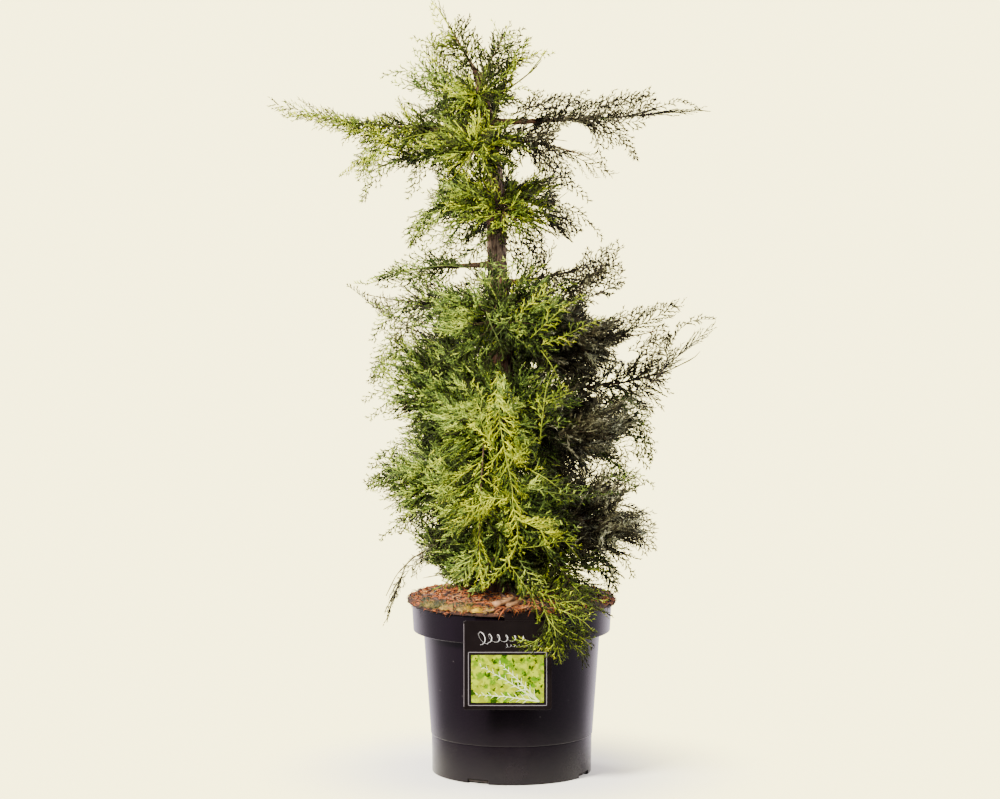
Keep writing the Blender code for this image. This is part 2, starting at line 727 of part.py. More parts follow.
def fuse(base, pieces):
    """Joins a collection of closed pieces onto the base by one Boolean union, and removes them."""
    join = base.modifiers.new("fuse", "BOOLEAN")
    join.operation = "UNION"
    join.operand_type = "COLLECTION"
    join.collection = pieces
    made = frozen(base, WELD_FUSED, face_outward=False)
    for obj in list(pieces.objects):
        bpy.data.objects.remove(obj)
    bpy.data.collections.remove(pieces)
    keep_main_body(made)
    return made


def is_sound(obj):
    """Whether each edge has two faces, also once corners that nearly meet are made one."""
    shape = bmesh.new()
    shape.from_mesh(obj.data)
    bmesh.ops.triangulate(shape, faces=shape.faces)
    bmesh.ops.remove_doubles(shape, verts=shape.verts, dist=WELD_TEST)
    sound = all(len(edge.link_faces) == 2 for edge in shape.edges)
    shape.free()
    return sound


def shoot_pieces(shoot):
    """A shoot's twig, as its two ends or None, and the frames of its sprays."""
    forward = shoot.direction.normalized()
    if not shoot.forked:
        return None, [spray_frame(shoot.foot, forward, shoot.length, shoot.roll, shoot.width)]
    side = Matrix.Rotation(shoot.roll, 3, forward) @ axes_along(forward)[1]
    twig = shoot.length * TWIG_SHARE
    end = shoot.foot + forward * twig
    frames = [spray_frame(end - forward * 2 * SPRAY_SUNK, forward, shoot.length - twig, shoot.roll)]
    for sign, place in ((1, 0.75), (-1, 0.5)):
        outward = forward * math.cos(FORK_ANGLE) + sign * side * math.sin(FORK_ANGLE)
        foot = shoot.foot + forward * twig * place
        frames.append(spray_frame(foot, outward, shoot.length * SIDE_SHARE, shoot.roll))
    return (shoot.foot, end), frames


def make_mass(bough, line, own, crown, spray, parts, guides, start):
    """One mass of foliage, drawn again from the next seed where its union isn't sound."""
    for attempt in range(TRIES):
        rng = random.Random(f"{SEED} {bough.name} {attempt}")
        mass, made = grow_mass(bough, line, own, crown, spray, parts, guides, start, rng)
        if is_sound(mass) or attempt == TRIES - 1:
            return mass, made
        print(f"{mass.name}: drawn again")
        bpy.data.objects.remove(mass)


def grow_mass(bough, line, own, crown, spray, parts, guides, start, rng):
    """A stem, a core if the mass is dense, and the shoots that fit in its space, fused."""
    reach = sum((b - a).length for a, b in zip(line, line[1:]))
    tip_length = min(SPRAY_LENGTH[1], bough.reach * MM / 2)
    end = 1 - (tip_length - 2 * SPRAY_SUNK) / reach
    share, heading = start
    stem = part_of(line, share, end, STEM_POINTS)
    if heading:
        stem.insert(1, stem[0] + heading * STEM_SHANK)
    foot_radius = STEM_RADIUS + bough.reach * MM * STEM_GROWTH
    radii = [foot_radius * (1 + (TIP_SHARE - 1) * i / (len(stem) - 1)) for i in range(len(stem))]
    mass = limb(f"{bough.name}_foliage", stem, radii, TWIG_SIDES, parts, guides, bough.tint)
    pieces = new_collection("pieces")
    if bough.dense:
        core = core_mesh(bough, stem, crown, own)
        add_mesh("core", core, pieces)
        shoots = core_shoots(bough, stem, core, rng)
    else:
        shoots = stem_shoots(bough, stem, rng)
    made = 0
    for shoot in (tip_shoot(bough, line, stem, rng), *shoots):
        sunk = SPRAY_SUNK * 1.5 if made else 0
        for shorter, pull in SQUEEZE:
            forward = along(stem, 1.0)[1]
            direction = shoot.direction.normalized().lerp(forward, pull)
            tried = shoot._replace(direction=direction, length=shoot.length * shorter)
            twig, frames = shoot_pieces(tried)
            tested = [point for frame in frames for point in spray_points(frame)]
            tested = [tuple(point) for point in tested if (point - shoot.foot).length > sunk]
            if crown.inside(tested, own).all():
                for frame in frames:
                    add_mesh("spray", spray, pieces).matrix_world = frame
                    made += 1
                if twig:
                    limb("twig", twig, (TWIG_RADIUS, TWIG_RADIUS * 0.8), TWIG_SIDES, pieces, guides)
                break
    return fuse(mass, pieces), made


# ---------------------------------------------------------------- the whole plant


def leader_bough():
    """The leader that carries on from the trunk's tip, as a bough of its own."""
    foot = trunk_at(TRUNK_LINE[-1][0])[0]
    run = LEADER_TOP - foot
    bearing = math.degrees(math.atan2(run.x, -run.y))
    return Bough(
        "leader", foot.z / MM, bearing, run.length / MM, run.z / MM, 0, 52, 52, 0, 7, False, "bright"
    )


def spiral_boughs():
    """The dense masses' boughs, from the top of the ribbon to its foot."""
    for index in range(SPIRAL_COUNT):
        share = index / (SPIRAL_COUNT - 1)
        bearing = SPIRAL_TURN * index % 360
        reach = SPIRAL_REACH[0] + (SPIRAL_REACH[1] - SPIRAL_REACH[0]) * share
        yield Bough(
            f"spiral_{index + 1:02d}",
            SPIRAL_TOP - SPIRAL_DROP * index,
            bearing,
            reach + SPIRAL_REACH_RIGHT * math.sin(math.radians(bearing)),
            SPIRAL_RISE,
            0.6,
            SPIRAL_ACROSS,
            SPIRAL_DEEP,
            0,
            SPIRAL_SHOOTS,
            True,
            SPIRAL_TINTS[index % 5],
        )


def main():
    clear_scene()
    parts = new_collection("spiral juniper in a pot")
    cutters = new_collection("cutters")
    guides = new_collection("guides")

    make_pot(parts, cutters)
    make_soil(parts)
    make_mulch(parts)
    make_label(parts)

    trunk_points = [trunk_at(height)[0] for height, _, _ in TRUNK_LINE]
    trunk_radii = [radius for _, _, radius in TRUNK_LINE]
    limb("trunk", trunk_points, trunk_radii, TRUNK_SIDES, parts, guides)

    leader = leader_bough()
    tip = trunk_points[-1]
    leader_forward = (trunk_points[-1] - trunk_points[-2]).normalized()
    leader_line = [
        tip + leader_forward * GAP + (LEADER_TOP - tip) * (i / (AXIS_POINTS - 1)) for i in range(AXIS_POINTS)
    ]
    boughs = [leader, *LOOSE_BOUGHS, *spiral_boughs()]
    lines = [leader_line, *[bough_line(bough) for bough in boughs[1:]]]

    limbs = [(np.array([tuple(p) for p in trunk_points]), trunk_radii)]
    starts = []  # share of its line where each mass's stem starts, and the way the limb before it heads
    for bough, line in zip(boughs, lines):
        if bough.bare == 0:
            starts.append((0, leader_forward if bough is leader else None))
            continue
        points = part_of(line, 0, bough.bare, BOUGH_POINTS)
        foot_radius = bough_radius(bough)
        radii = [foot_radius * (1 + (BOUGH_TIP - 1) * i / (BOUGH_POINTS - 1)) for i in range(BOUGH_POINTS)]
        limb(f"{bough.name}_bough", points, radii, LIMB_SIDES, parts, guides)
        limbs.append((np.array([tuple(p) for p in points]), radii))
        length = sum((b - a).length for a, b in zip(line, line[1:]))
        starts.append((bough.bare + GAP / length, (points[-1] - points[-2]).normalized()))

    crown = Crown(lines, limbs)
    spray = spray_mesh()
    total = 0
    for own, (bough, line, start) in enumerate(zip(boughs, lines, starts)):
        mass, made = make_mass(bough, line, own, crown, spray, parts, guides, start)
        total += made
        print(f"{mass.name}: {made} sprays, {len(mass.data.polygons)} faces")
    print(f"{total} sprays")


main()
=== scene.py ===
# %% [markdown]
# # A grown-out spiral juniper in its nursery pot
#
# The plant is a young juniper that was trained as a spiral round one leaning trunk and has since
# grown out into loose, feathery plumes. It stands in a black moulded pot, on coir and bark mulch,
# with a card label hung over the rim. This notebook dresses the plain solids of the model: it
# keeps their places and sizes, and gives each of them its fine shape and its finish.

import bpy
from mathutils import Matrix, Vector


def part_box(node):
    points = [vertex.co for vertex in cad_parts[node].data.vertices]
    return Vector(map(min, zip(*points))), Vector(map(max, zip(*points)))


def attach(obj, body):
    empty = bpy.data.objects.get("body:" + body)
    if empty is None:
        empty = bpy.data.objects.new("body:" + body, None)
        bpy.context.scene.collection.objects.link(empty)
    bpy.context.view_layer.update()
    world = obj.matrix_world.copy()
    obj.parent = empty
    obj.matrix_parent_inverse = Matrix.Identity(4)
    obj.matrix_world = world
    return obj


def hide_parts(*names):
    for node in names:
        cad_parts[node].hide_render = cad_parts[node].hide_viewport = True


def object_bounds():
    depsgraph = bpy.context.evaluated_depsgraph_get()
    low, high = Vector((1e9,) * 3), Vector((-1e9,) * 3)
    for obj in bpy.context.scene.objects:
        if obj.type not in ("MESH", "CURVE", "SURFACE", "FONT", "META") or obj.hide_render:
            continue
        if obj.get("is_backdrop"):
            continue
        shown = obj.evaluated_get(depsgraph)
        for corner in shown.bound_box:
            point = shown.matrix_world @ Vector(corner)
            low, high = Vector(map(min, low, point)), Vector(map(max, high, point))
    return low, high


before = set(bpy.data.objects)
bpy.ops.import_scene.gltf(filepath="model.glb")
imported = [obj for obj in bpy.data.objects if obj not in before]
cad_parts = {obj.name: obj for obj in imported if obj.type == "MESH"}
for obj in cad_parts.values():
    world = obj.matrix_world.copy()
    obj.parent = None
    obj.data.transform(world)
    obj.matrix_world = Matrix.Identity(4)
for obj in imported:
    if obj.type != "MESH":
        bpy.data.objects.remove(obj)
cad_low, cad_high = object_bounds()
print(f"{len(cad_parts)} solids, {(cad_high - cad_low).z:.3f} m high")

# %% [markdown]
# ## Measures
#
# Everything is in metres, +Z up, and the origin is the centre of the pot's underside. The front
# is -Y. Sizes come from the solids where they can be read there, so that the dressing follows
# the model. Every random draw comes from one seeded generator, so each run gives the same plant.

# %% Measures
import math
from collections import namedtuple

import bmesh
import bpy
import numpy as np
from mathutils import Vector, noise

MM = 0.001
GAP = 0.3 * MM
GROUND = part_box("trunk")[0].z - GAP  # top of the mulch
POT_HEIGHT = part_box("pot")[1].z
COLLAR_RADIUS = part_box("pot")[1].x
MULCH_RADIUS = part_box("mulch")[1].x
CARD_LOW, CARD_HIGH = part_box("label_card")
SEED = 17
rng = np.random.default_rng(SEED)
print(f"ground at {GROUND:.3f} m, pot {2 * COLLAR_RADIUS:.3f} m across the rim")

# %% [markdown]
# ## Camera, floor and light
#
# The view is from the front and a little above, through a long lens, as a studio would take a
# plant of one metre. The floor is a pale disc whose edge fades out, so that no horizon shows. One
# large soft light stands high on the left, and the world gives the weak light from all round.


# %% Camera
LENS = 133  # millimetres, on a sensor of 36
CAMERA_PLACE = (-0.016, -5.0, 1.007)
CAMERA_AIM = (-0.016, 0, 0.511)


def look(obj, target):
    """Turns a camera or light so that it faces a point."""
    obj.rotation_euler = (Vector(target) - obj.location).to_track_quat("-Z", "Y").to_euler()


camera = bpy.data.objects.new("camera", bpy.data.cameras.new("camera"))
bpy.context.scene.collection.objects.link(camera)
camera.data.lens = LENS
camera.data.sensor_width = 36
camera.location = CAMERA_PLACE
look(camera, CAMERA_AIM)
bpy.context.scene.camera = camera
print(f"camera {-CAMERA_PLACE[1]} m away, {LENS} mm lens")

# %% Lights
LIGHTS = (  # name, place, size in metres, watts and colour
    ("key", (-2.6, -2.8, 2.9), 0.9, 900, (1.0, 0.97, 0.88)),
    ("front fill", (1.9, -3.9, 1.7), 2.2, 100, (0.97, 0.98, 1.0)),
    ("back left", (-2.4, 2.2, 2.2), 1.4, 130, (1.0, 0.99, 0.96)),
    ("back right", (2.8, 0.6, 1.5), 1.6, 110, (0.97, 0.98, 1.0)),
)
for name, place, size, watts, colour in LIGHTS:
    lamp = bpy.data.objects.new(name, bpy.data.lights.new(name, "AREA"))
    lamp.data.size = size
    lamp.data.energy = watts
    lamp.data.color = colour
    lamp.location = place
    look(lamp, (0, 0, 0.5))
    bpy.context.scene.collection.objects.link(lamp)
print(f"{len(LIGHTS)} lights")

# %% [markdown]
# ## Writing materials as sums
#
# A material is a small calculation for each point of a surface. Blender draws it as boxes and
# wires. Here one class wraps a wire, so that `1 - mask` or `grain * 0.2` adds the right box by
# itself. Colours are blended with Mix boxes, because a Math box would turn them grey.


# %% A wire that takes sums
class Link:
    """A wire in a material's node tree, on which sums can be written."""

    def __init__(self, tree, socket=None):
        self.tree = tree
        self.socket = socket

    def plug(self, value, target):
        if isinstance(value, Link):
            self.tree.links.new(value.socket, target)
        elif target.type == "RGBA":
            target.default_value = (*value, 1)
        else:
            target.default_value = value

    def node(self, kind, *values, settings=None, output=0, **named):
        """Adds a node: its settings first, then values or wires for its sockets."""
        made = self.tree.nodes.new(kind)
        for key, value in (settings or {}).items():
            if key == "stops":
                ramp = made.color_ramp
                for place, colour in value[2:]:
                    ramp.elements.new(place)
                for element, (place, colour) in zip(ramp.elements, sorted(value)):
                    element.position = place
                    element.color = (*colour, 1)
            else:
                setattr(made, key, value)
        inputs = [socket for socket in made.inputs if not socket.is_unavailable]
        for value, socket in zip(values, inputs):
            self.plug(value, socket)
        for key, value in named.items():
            self.plug(value, next(s for s in inputs if s.name == key.replace("_", " ")))
        outputs = [socket for socket in made.outputs if not socket.is_unavailable]
        if isinstance(output, str):
            return Link(self.tree, next(s for s in outputs if s.name == output))
        return Link(self.tree, outputs[output])

    def math(self, operation, *values):
        return self.node("ShaderNodeMath", *values, settings={"operation": operation})

    def __add__(self, other):
        return self.math("ADD", self, other)

    def __radd__(self, other):
        return self.math("ADD", other, self)

    def __sub__(self, other):
        return self.math("SUBTRACT", self, other)

    def __rsub__(self, other):
        return self.math("SUBTRACT", other, self)

    def __mul__(self, other):
        return self.math("MULTIPLY", self, other)

    def __rmul__(self, other):
        return self.math("MULTIPLY", other, self)

    def __gt__(self, other):
        return self.math("GREATER_THAN", self, other)

    def __lt__(self, other):
        return self.math("LESS_THAN", self, other)


print("wires take + - * > <")


# %% Colours and materials
def mixed(factor, low, high):
    """The colour that lies between two, as the factor goes from 0 to 1."""
    return factor.node("ShaderNodeMix", factor, low, high, settings={"data_type": "RGBA"})


def scaled(colour, share):
    """A colour made darker or lighter. The share may differ for red, green and blue."""
    return tuple(float(part) for part in np.multiply(colour, share))


def new_material(name, **constants):
    """A Principled material. What is the same all over is set on its own sockets."""
    made = bpy.data.materials.new(name)
    made.use_nodes = True
    blank = Link(made.node_tree)
    shader = made.node_tree.nodes["Principled BSDF"]
    for key, value in constants.items():
        blank.plug(value, shader.inputs[key.replace("_", " ")])
    return made, blank


def paint(made, **links):
    """Wires what varies over a surface into its shader."""
    shader = made.node_tree.nodes["Principled BSDF"]
    for key, value in links.items():
        value.plug(value, shader.inputs[key.replace("_", " ")])
    return made


print("materials can be painted")


# %% Places and noise
def places(blank, stretch=(1, 1, 1)):
    """Where on the object a point is, in metres, stretched along each axis."""
    where = blank.node("ShaderNodeTexCoord", output="Object")
    return where.node("ShaderNodeMapping", where, Scale=stretch)


def distance(where):
    """How far a place is from the origin."""
    settings = {"operation": "LENGTH"}
    return where.node("ShaderNodeVectorMath", where, settings=settings, output="Value")


def part_of(where, axis):
    """One of a place's X, Y and Z."""
    return where.node("ShaderNodeSeparateXYZ", where, output=axis)


def grain(where, scale, detail=3.0, roughness=0.5):
    """Cloudy noise from 0 to 1."""
    kind = "ShaderNodeTexNoise"
    return where.node(kind, Vector=where, Scale=scale, Detail=detail, Roughness=roughness)


def clamped(value, low, high):
    """The value's range from low to high spread over 0 to 1, and cut off outside it."""
    settings = {"interpolation_type": "SMOOTHSTEP"}
    return value.node("ShaderNodeMapRange", value, settings=settings, From_Min=low, From_Max=high)


def bump(height, depth, strength=1.0):
    return height.node("ShaderNodeBump", Height=height, Distance=depth, Strength=strength)


print("noise ready")

# %% [markdown]
# The floor is one disc. Its card has a faint fleck, and it turns clear towards its edge, where the
# backdrop takes over. The camera sees an even backdrop, and everything else is lit by a weaker
# world that is brighter behind and at both sides, so that the back doesn't sink into the dark.

# %% Floor and world
FLOOR_RADIUS = 2.6
FLOOR_FADE = (0.11, 0.38)  # metres from the middle
STUDIO = (0.973, 0.873, 0.40)  # backdrop's colour and strength
BACKDROP = 6.3
SKYLIGHT = (1.0, 0.88, 0.98)


def pale_floor():
    """A disc of pale card that melts into the background before its edge."""
    bpy.ops.mesh.primitive_circle_add(vertices=96, radius=FLOOR_RADIUS, fill_type="NGON")
    floor = bpy.context.object
    floor.name = "floor"
    made, blank = new_material("pale floor", Roughness=0.9)
    away = distance(places(blank))
    fleck = grain(places(blank), 260)
    colour = mixed(fleck, (0.88, 0.85, 0.76), (0.92, 0.89, 0.80))
    shown = 1 - clamped(away, *FLOOR_FADE)
    floor.data.materials.append(paint(made, Base_Color=colour, Alpha=shown))
    floor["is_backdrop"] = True


def pale_world():
    """An even backdrop for the camera, and for the plant a weaker light, least of all in front."""
    world = bpy.data.worlds.new("studio")
    bpy.context.scene.world = world
    world.use_nodes = True
    tree = world.node_tree
    background = tree.nodes["Background"]
    seen = Link(tree).node("ShaderNodeLightPath", output="Is Camera Ray")
    way = Link(tree).node("ShaderNodeTexCoord", output="Generated")
    across, back = part_of(way, "X"), part_of(way, "Y")
    light = clamped(back, -0.7, 0.9) * 0.5 + clamped(back, 0.3, 0.95) * 2.0 + 0.10
    light = light + clamped(0 - across, 0.3, 0.8) * 0.6 + clamped(across, 0.3, 0.8) * 0.5
    seen.plug(mixed(seen, SKYLIGHT, STUDIO), background.inputs["Color"])
    seen.plug(seen * BACKDROP + (1 - seen) * light, background.inputs["Strength"])


pale_floor()
pale_world()
print("floor and world made")

# %% [markdown]
# ## Putting a piece in its place
#
# Each finished mesh becomes one piece: it rides on the plant's only body, takes its finish as its
# material, and hides the plain solids that it stands for.


# %% Piece helper
def piece(name, mesh, material, nodes=()):
    """Adds a mesh to the scene as a piece of the plant."""
    obj = bpy.data.objects.new(name, mesh)
    bpy.context.scene.collection.objects.link(obj)
    mesh.materials.clear()
    mesh.materials.append(material)
    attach(obj, "root")
    if nodes:
        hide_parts(*nodes)
    print(f"{name}: {len(mesh.polygons)} faces")
    return obj


def mesh_from(name, corners, triangles, smooth=True):
    """A mesh from an array of corners and one of corner numbers, three for each triangle."""
    mesh = bpy.data.meshes.new(name)
    mesh.vertices.add(len(corners))
    mesh.vertices.foreach_set("co", np.asarray(corners, np.float32).ravel())
    mesh.loops.add(len(triangles) * 3)
    mesh.loops.foreach_set("vertex_index", np.asarray(triangles, np.int32).ravel())
    mesh.polygons.add(len(triangles))
    mesh.polygons.foreach_set("loop_start", np.arange(0, len(triangles) * 3, 3, dtype=np.int32))
    mesh.update(calc_edges=True)
    if smooth:
        mesh.shade_smooth()
    return mesh


print("piece helper ready")

# %% [markdown]
# ## Strands
#
# Coir, moss, twigs and the scaly green shoots are all one form: a thin strand that tapers along a
# gently bent line. They are worked out thousands at a time in arrays, a row for each strand, and
# meshed together, because one object for each would be far too slow.


# %% Strands
Strands = namedtuple("Strands", "foot heading bend length face radius own shade tint")


def unit(vectors):
    return vectors / np.maximum(np.linalg.norm(vectors, axis=-1, keepdims=True), 1e-9)


def strands(foot, heading, length, radius, *, bend=0, face=(0, 0, 1), own=0, shade=0, tint=0):
    """Strands from arrays, or from single values where all are alike. Face is a flat spray's side."""
    count = len(foot)
    heading = unit(np.broadcast_to(np.asarray(heading, float), (count, 3)))
    face = np.broadcast_to(np.asarray(face, float), (count, 3))
    face = face - heading * (face * heading).sum(1, keepdims=True)
    flat = np.linalg.norm(face, axis=1) < 0.05
    face = np.where(flat[:, None], np.cross(heading, (0.0, 1.0, 0.1)), face)
    return Strands(
        np.asarray(foot, float),
        heading,
        np.broadcast_to(np.asarray(bend, float), (count, 3)),
        np.broadcast_to(np.asarray(length, float), (count,)),
        unit(face),
        np.broadcast_to(np.asarray(radius, float), (count,)),
        np.broadcast_to(np.asarray(own, int), (count,)),
        np.broadcast_to(np.asarray(shade, int), (count,)),
        np.broadcast_to(np.asarray(tint, int), (count,)),
    )


def picked(group, wanted):
    return Strands(*(column[wanted] for column in group))


def together(*groups):
    return Strands(*(np.concatenate(columns) for columns in zip(*groups)))


def point_on(group, t):
    t = np.broadcast_to(t, group.length.shape)[:, None]
    return group.foot + group.length[:, None] * (group.heading * t + group.bend * t * t)


def heading_on(group, t):
    t = np.broadcast_to(t, group.length.shape)[:, None]
    return unit(group.heading + 2 * group.bend * t)


print("strands ready")


# %% Mesh of strands
def strand_mesh(group, stations=(0.0,), sides=3, taper=0.75):
    """Corners and triangles of tubes with a ring at each station, all drawn out to a point."""
    rings = []
    for t in stations:
        ahead = heading_on(group, t)
        up = unit(group.face - ahead * (group.face * ahead).sum(1, keepdims=True))
        side = np.cross(ahead, up)
        radius = (group.radius * (1 - t * taper))[:, None]
        middle = point_on(group, t)
        for index in range(sides):
            turn = 2 * math.pi * index / sides
            rings.append(middle + radius * (up * math.cos(turn) + side * math.sin(turn)))
    rings.append(point_on(group, 1.0))
    corners = np.stack(rings, axis=1)
    each = corners.shape[1]
    pattern = []
    for ring in range(len(stations) - 1):
        for index in range(sides):
            a, b = ring * sides + index, ring * sides + (index + 1) % sides
            pattern += [(a, b + sides, b), (a, a + sides, b + sides)]
    last = (len(stations) - 1) * sides
    pattern += [(last + i, each - 1, last + (i + 1) % sides) for i in range(sides)]
    triangles = np.arange(len(corners))[:, None, None] * each + np.array(pattern)[None]
    return corners.reshape(-1, 3), triangles.reshape(-1, 3)


def merged(*parts):
    """Several sets of corners and triangles as one."""
    shift, corners, triangles = 0, [], []
    for some_corners, some_triangles in parts:
        corners.append(some_corners)
        triangles.append(some_triangles + shift)
        shift += len(some_corners)
    return np.concatenate(corners), np.concatenate(triangles)


def random_headings(count):
    return unit(rng.normal(size=(count, 3)))


def around(turn):
    """Level headings away from the axis, from turns in radians with 0 at the front."""
    return np.stack([np.sin(turn), -np.cos(turn), np.zeros(len(turn))], axis=1)


print("strands can be meshed")

# %% [markdown]
# ## The pot
#
# A nursery pot is blown from thin black plastic: a plain tapering wall, a deep collar that makes
# the rim stiff, and drainage notches round the foot. Turning a profile round the axis gives it
# exactly, with small round edges that catch the light. The notches are cut afterwards.

# %% Pot profile
COLLAR_HEIGHT = 38 * MM
WALL = 2 * MM
INSIDE_DEPTH = 14 * MM  # how far down the inside shows, to the soil
BODY_RADIUS = 120.5 * MM
SHOULDER = (110.8 * MM, 54 * MM)  # radius and height of the small ledge over the base
LEDGE = 2.4 * MM
BASE_RADIUS = 109 * MM
ROUND_EDGE = 1.5 * MM


def arc(centre, radius, start, end, steps=5):
    """Points of a round edge, with angles in degrees, 0 pointing outward and 90 up."""
    turns = [math.radians(start + (end - start) * i / steps) for i in range(steps + 1)]
    return [(centre[0] + radius * math.cos(a), centre[1] + radius * math.sin(a)) for a in turns]


def with_support(points, near=0.6 * MM):
    """The same profile with a point just inside both ends of each long stretch.

    Shading is smoothed from point to point, so these keep the flat walls looking flat.
    """
    made = [points[0]]
    for a, b in zip(points, points[1:]):
        share = near / math.dist(a, b)
        if share < 0.2:
            for t in (share, 1 - share):
                made.append((a[0] + (b[0] - a[0]) * t, a[1] + (b[1] - a[1]) * t))
        made.append(b)
    return made


def pot_profile():
    """Radius and height, from the inside of the rim over the outside to the middle of the base."""
    foot = POT_HEIGHT - COLLAR_HEIGHT
    lip = WALL / 2
    edge = ROUND_EDGE
    inner = COLLAR_RADIUS - WALL
    return with_support([
        (inner, POT_HEIGHT - INSIDE_DEPTH),
        *arc((inner + lip, POT_HEIGHT - lip), lip, 180, 0, 8),
        *arc((COLLAR_RADIUS - 2 * MM - edge, foot + edge), edge, 0, -90),
        *arc((BODY_RADIUS + edge, foot - edge), edge, 90, 180),
        *arc((SHOULDER[0] - edge, SHOULDER[1]), edge, 0, -75),
        (BASE_RADIUS + 0.8 * MM, SHOULDER[1] - LEDGE),
        *arc((BASE_RADIUS - edge, edge), edge, 0, -90),
        (0, 0),
    ])


print(f"{len(pot_profile())} points in the profile")

# %% Pot shape
POT_STEPS = 160
NOTCHES = 4
NOTCH_BEARING = -25  # degrees to the right of the front
NOTCH_SIZE = (31 * MM, 18 * MM, 13 * MM)  # half of the height is under the pot


def pot_mesh():
    """The profile turned round the axis, with the notches cut out of its foot."""
    points = pot_profile()
    mesh = bpy.data.meshes.new("pot profile")
    edges = [(i, i + 1) for i in range(len(points) - 1)]
    mesh.from_pydata([(radius, 0, height) for radius, height in points], edges, [])
    turned = bpy.data.objects.new("turned pot", mesh)
    bpy.context.scene.collection.objects.link(turned)
    screw = turned.modifiers.new("turn", "SCREW")
    screw.steps = screw.render_steps = POT_STEPS
    screw.use_merge_vertices = True
    screw.merge_threshold = 0.00001
    wall = turned.modifiers.new("wall", "SOLIDIFY")
    wall.thickness = WALL / 2
    wall.offset = -1
    helpers = [turned]
    for index in range(NOTCHES):
        bearing = math.radians(NOTCH_BEARING + 360 / NOTCHES * index)
        bpy.ops.mesh.primitive_cube_add(size=1)
        notch = bpy.context.object
        notch.scale = NOTCH_SIZE
        notch.rotation_euler.z = bearing
        notch.location = (BASE_RADIUS * math.sin(bearing), -BASE_RADIUS * math.cos(bearing), 0)
        helpers.append(notch)
        cut = turned.modifiers.new("notch", "BOOLEAN")
        cut.operation = "DIFFERENCE"
        cut.object = notch
    bpy.context.view_layer.update()
    finished = turned.evaluated_get(bpy.context.evaluated_depsgraph_get())
    made = bpy.data.meshes.new_from_object(finished)
    for helper in helpers:
        bpy.data.objects.remove(helper)
    made.shade_smooth()
    made.set_sharp_from_angle(angle=math.radians(40))
    return made


# %% [markdown]
# The plastic is black with a hint of purple, and satin rather than glossy. Its finish changes a
# little from place to place: cloudy flow marks from the mould, a dusting of dry soil near the
# foot, and a few pale specks where grit has scuffed it. Inside the drainage notches it is painted
# near-black, as painted shade.


# %% Pot finish
NOTCH_SHADE_BACK = (106.8 * MM, 108 * MM)  # painted shade in the notches: nearer to the axis than this it is painted near-black,
NOTCH_SHADE_TOP = (8.5 * MM, 9.5 * MM)  # and lower than this


def pot_plastic():
    """Black plastic with flow marks, dust near the foot, a few scuffs and painted shade in the notches.
    """
    made, blank = new_material("black pot plastic", Specular_IOR_Level=0.2)
    where = places(blank)
    flow = grain(places(blank, (1, 1, 0.25)), 16, 4)
    fine = grain(where, 900, 2)
    height = part_of(where, "Z")
    away = distance(places(blank, (1, 1, 0)))
    # painted shade: the inner faces of the notches are painted near-black and rough
    inside = (1 - clamped(away, *NOTCH_SHADE_BACK)) * (1 - clamped(height, *NOTCH_SHADE_TOP))
    dust = (1 - clamped(height, 0.0, 0.09)) * clamped(grain(where, 30, 6, 0.7), 0.35, 0.80)
    speck = where.node("ShaderNodeTexVoronoi", Vector=where, Scale=95, output="Distance") < 0.045
    rare = grain(where, 21) > 0.60
    scuff = speck * rare * (1 - clamped(height, 0.02, 0.10) * 0.75)
    colour = mixed(flow, (0.0018, 0.0009, 0.0016), (0.0044, 0.0022, 0.0048))
    colour = mixed(dust * 0.15, colour, (0.030, 0.022, 0.020))
    colour = mixed(scuff, colour, (0.55, 0.50, 0.46))
    colour = mixed(inside, colour, (0.0003, 0.0002, 0.0003))
    return paint(
        made,
        Base_Color=colour,
        Roughness=0.14 + flow * 0.14 + dust * 0.12 + inside * 0.6,
        Normal=bump(flow * 0.6 + fine * 0.1, 0.4 * MM, 0.5),
    )


piece("pot_shell", pot_mesh(), pot_plastic(), ["pot"])

# %% [markdown]
# ## Soil and mulch
#
# The root ball is hidden, so its plain solid only gets an earthy finish. What shows is the heap on
# top: reddish coir that bulges over the rim, chips of bark and wood, and cushions of moss. A
# surface of noise makes the heap, and thousands of strands and chips lie on it.


# %% Soil
def earth(name, dark, light, wet=0.9):
    """Crumbly matter of two colours."""
    made, blank = new_material(name)
    where = places(blank)
    crumbs = grain(where, 190, 6, 0.7)
    clods = grain(where, 34, 4, 0.6)
    colour = mixed(clamped(crumbs * 0.6 + clods * 0.4, 0.35, 0.65), dark, light)
    return paint(
        made,
        Base_Color=colour,
        Roughness=wet + crumbs * 0.1,
        Normal=bump(crumbs + clods, 1.5 * MM, 0.9),
    )


soil_finish = earth("potting soil", (0.005, 0.003, 0.0025), (0.016, 0.010, 0.007))
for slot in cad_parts["soil"].material_slots:
    slot.material = soil_finish
print("soil finished")

# %% Heap
HEAP_SECTION = (  # radius, and height above the ground
    (0, 0),
    (42 * MM, 0),
    (84 * MM, -2 * MM),
    (124 * MM, -4 * MM),
    (MULCH_RADIUS - 4 * MM, -8 * MM),
    (MULCH_RADIUS - 0.5 * MM, -11.5 * MM),
    (MULCH_RADIUS - 2 * MM, -13.2 * MM),
)
HEAP_RINGS = 48
HEAP_STEPS = 150
LUMPS = (34, 5.2)  # one over their size in metres, and height in millimetres
CLODS = (120, 4.4)
RAGGED_EDGE = 2.2 * MM


def heap_height(radius):
    """Height of the heap at a distance from the axis."""
    radii, heights = zip(*HEAP_SECTION[:-1])
    return GROUND + np.interp(radius, radii, heights)


def heap_roughness(x, y):
    """Height of the lumps and small clods on the heap."""
    lumps = noise.noise(Vector((x, y, 0.3)) * LUMPS[0]) * LUMPS[1]
    clods = noise.noise(Vector((x, y, 1.7)) * CLODS[0]) * CLODS[1]
    return (lumps + clods) * MM


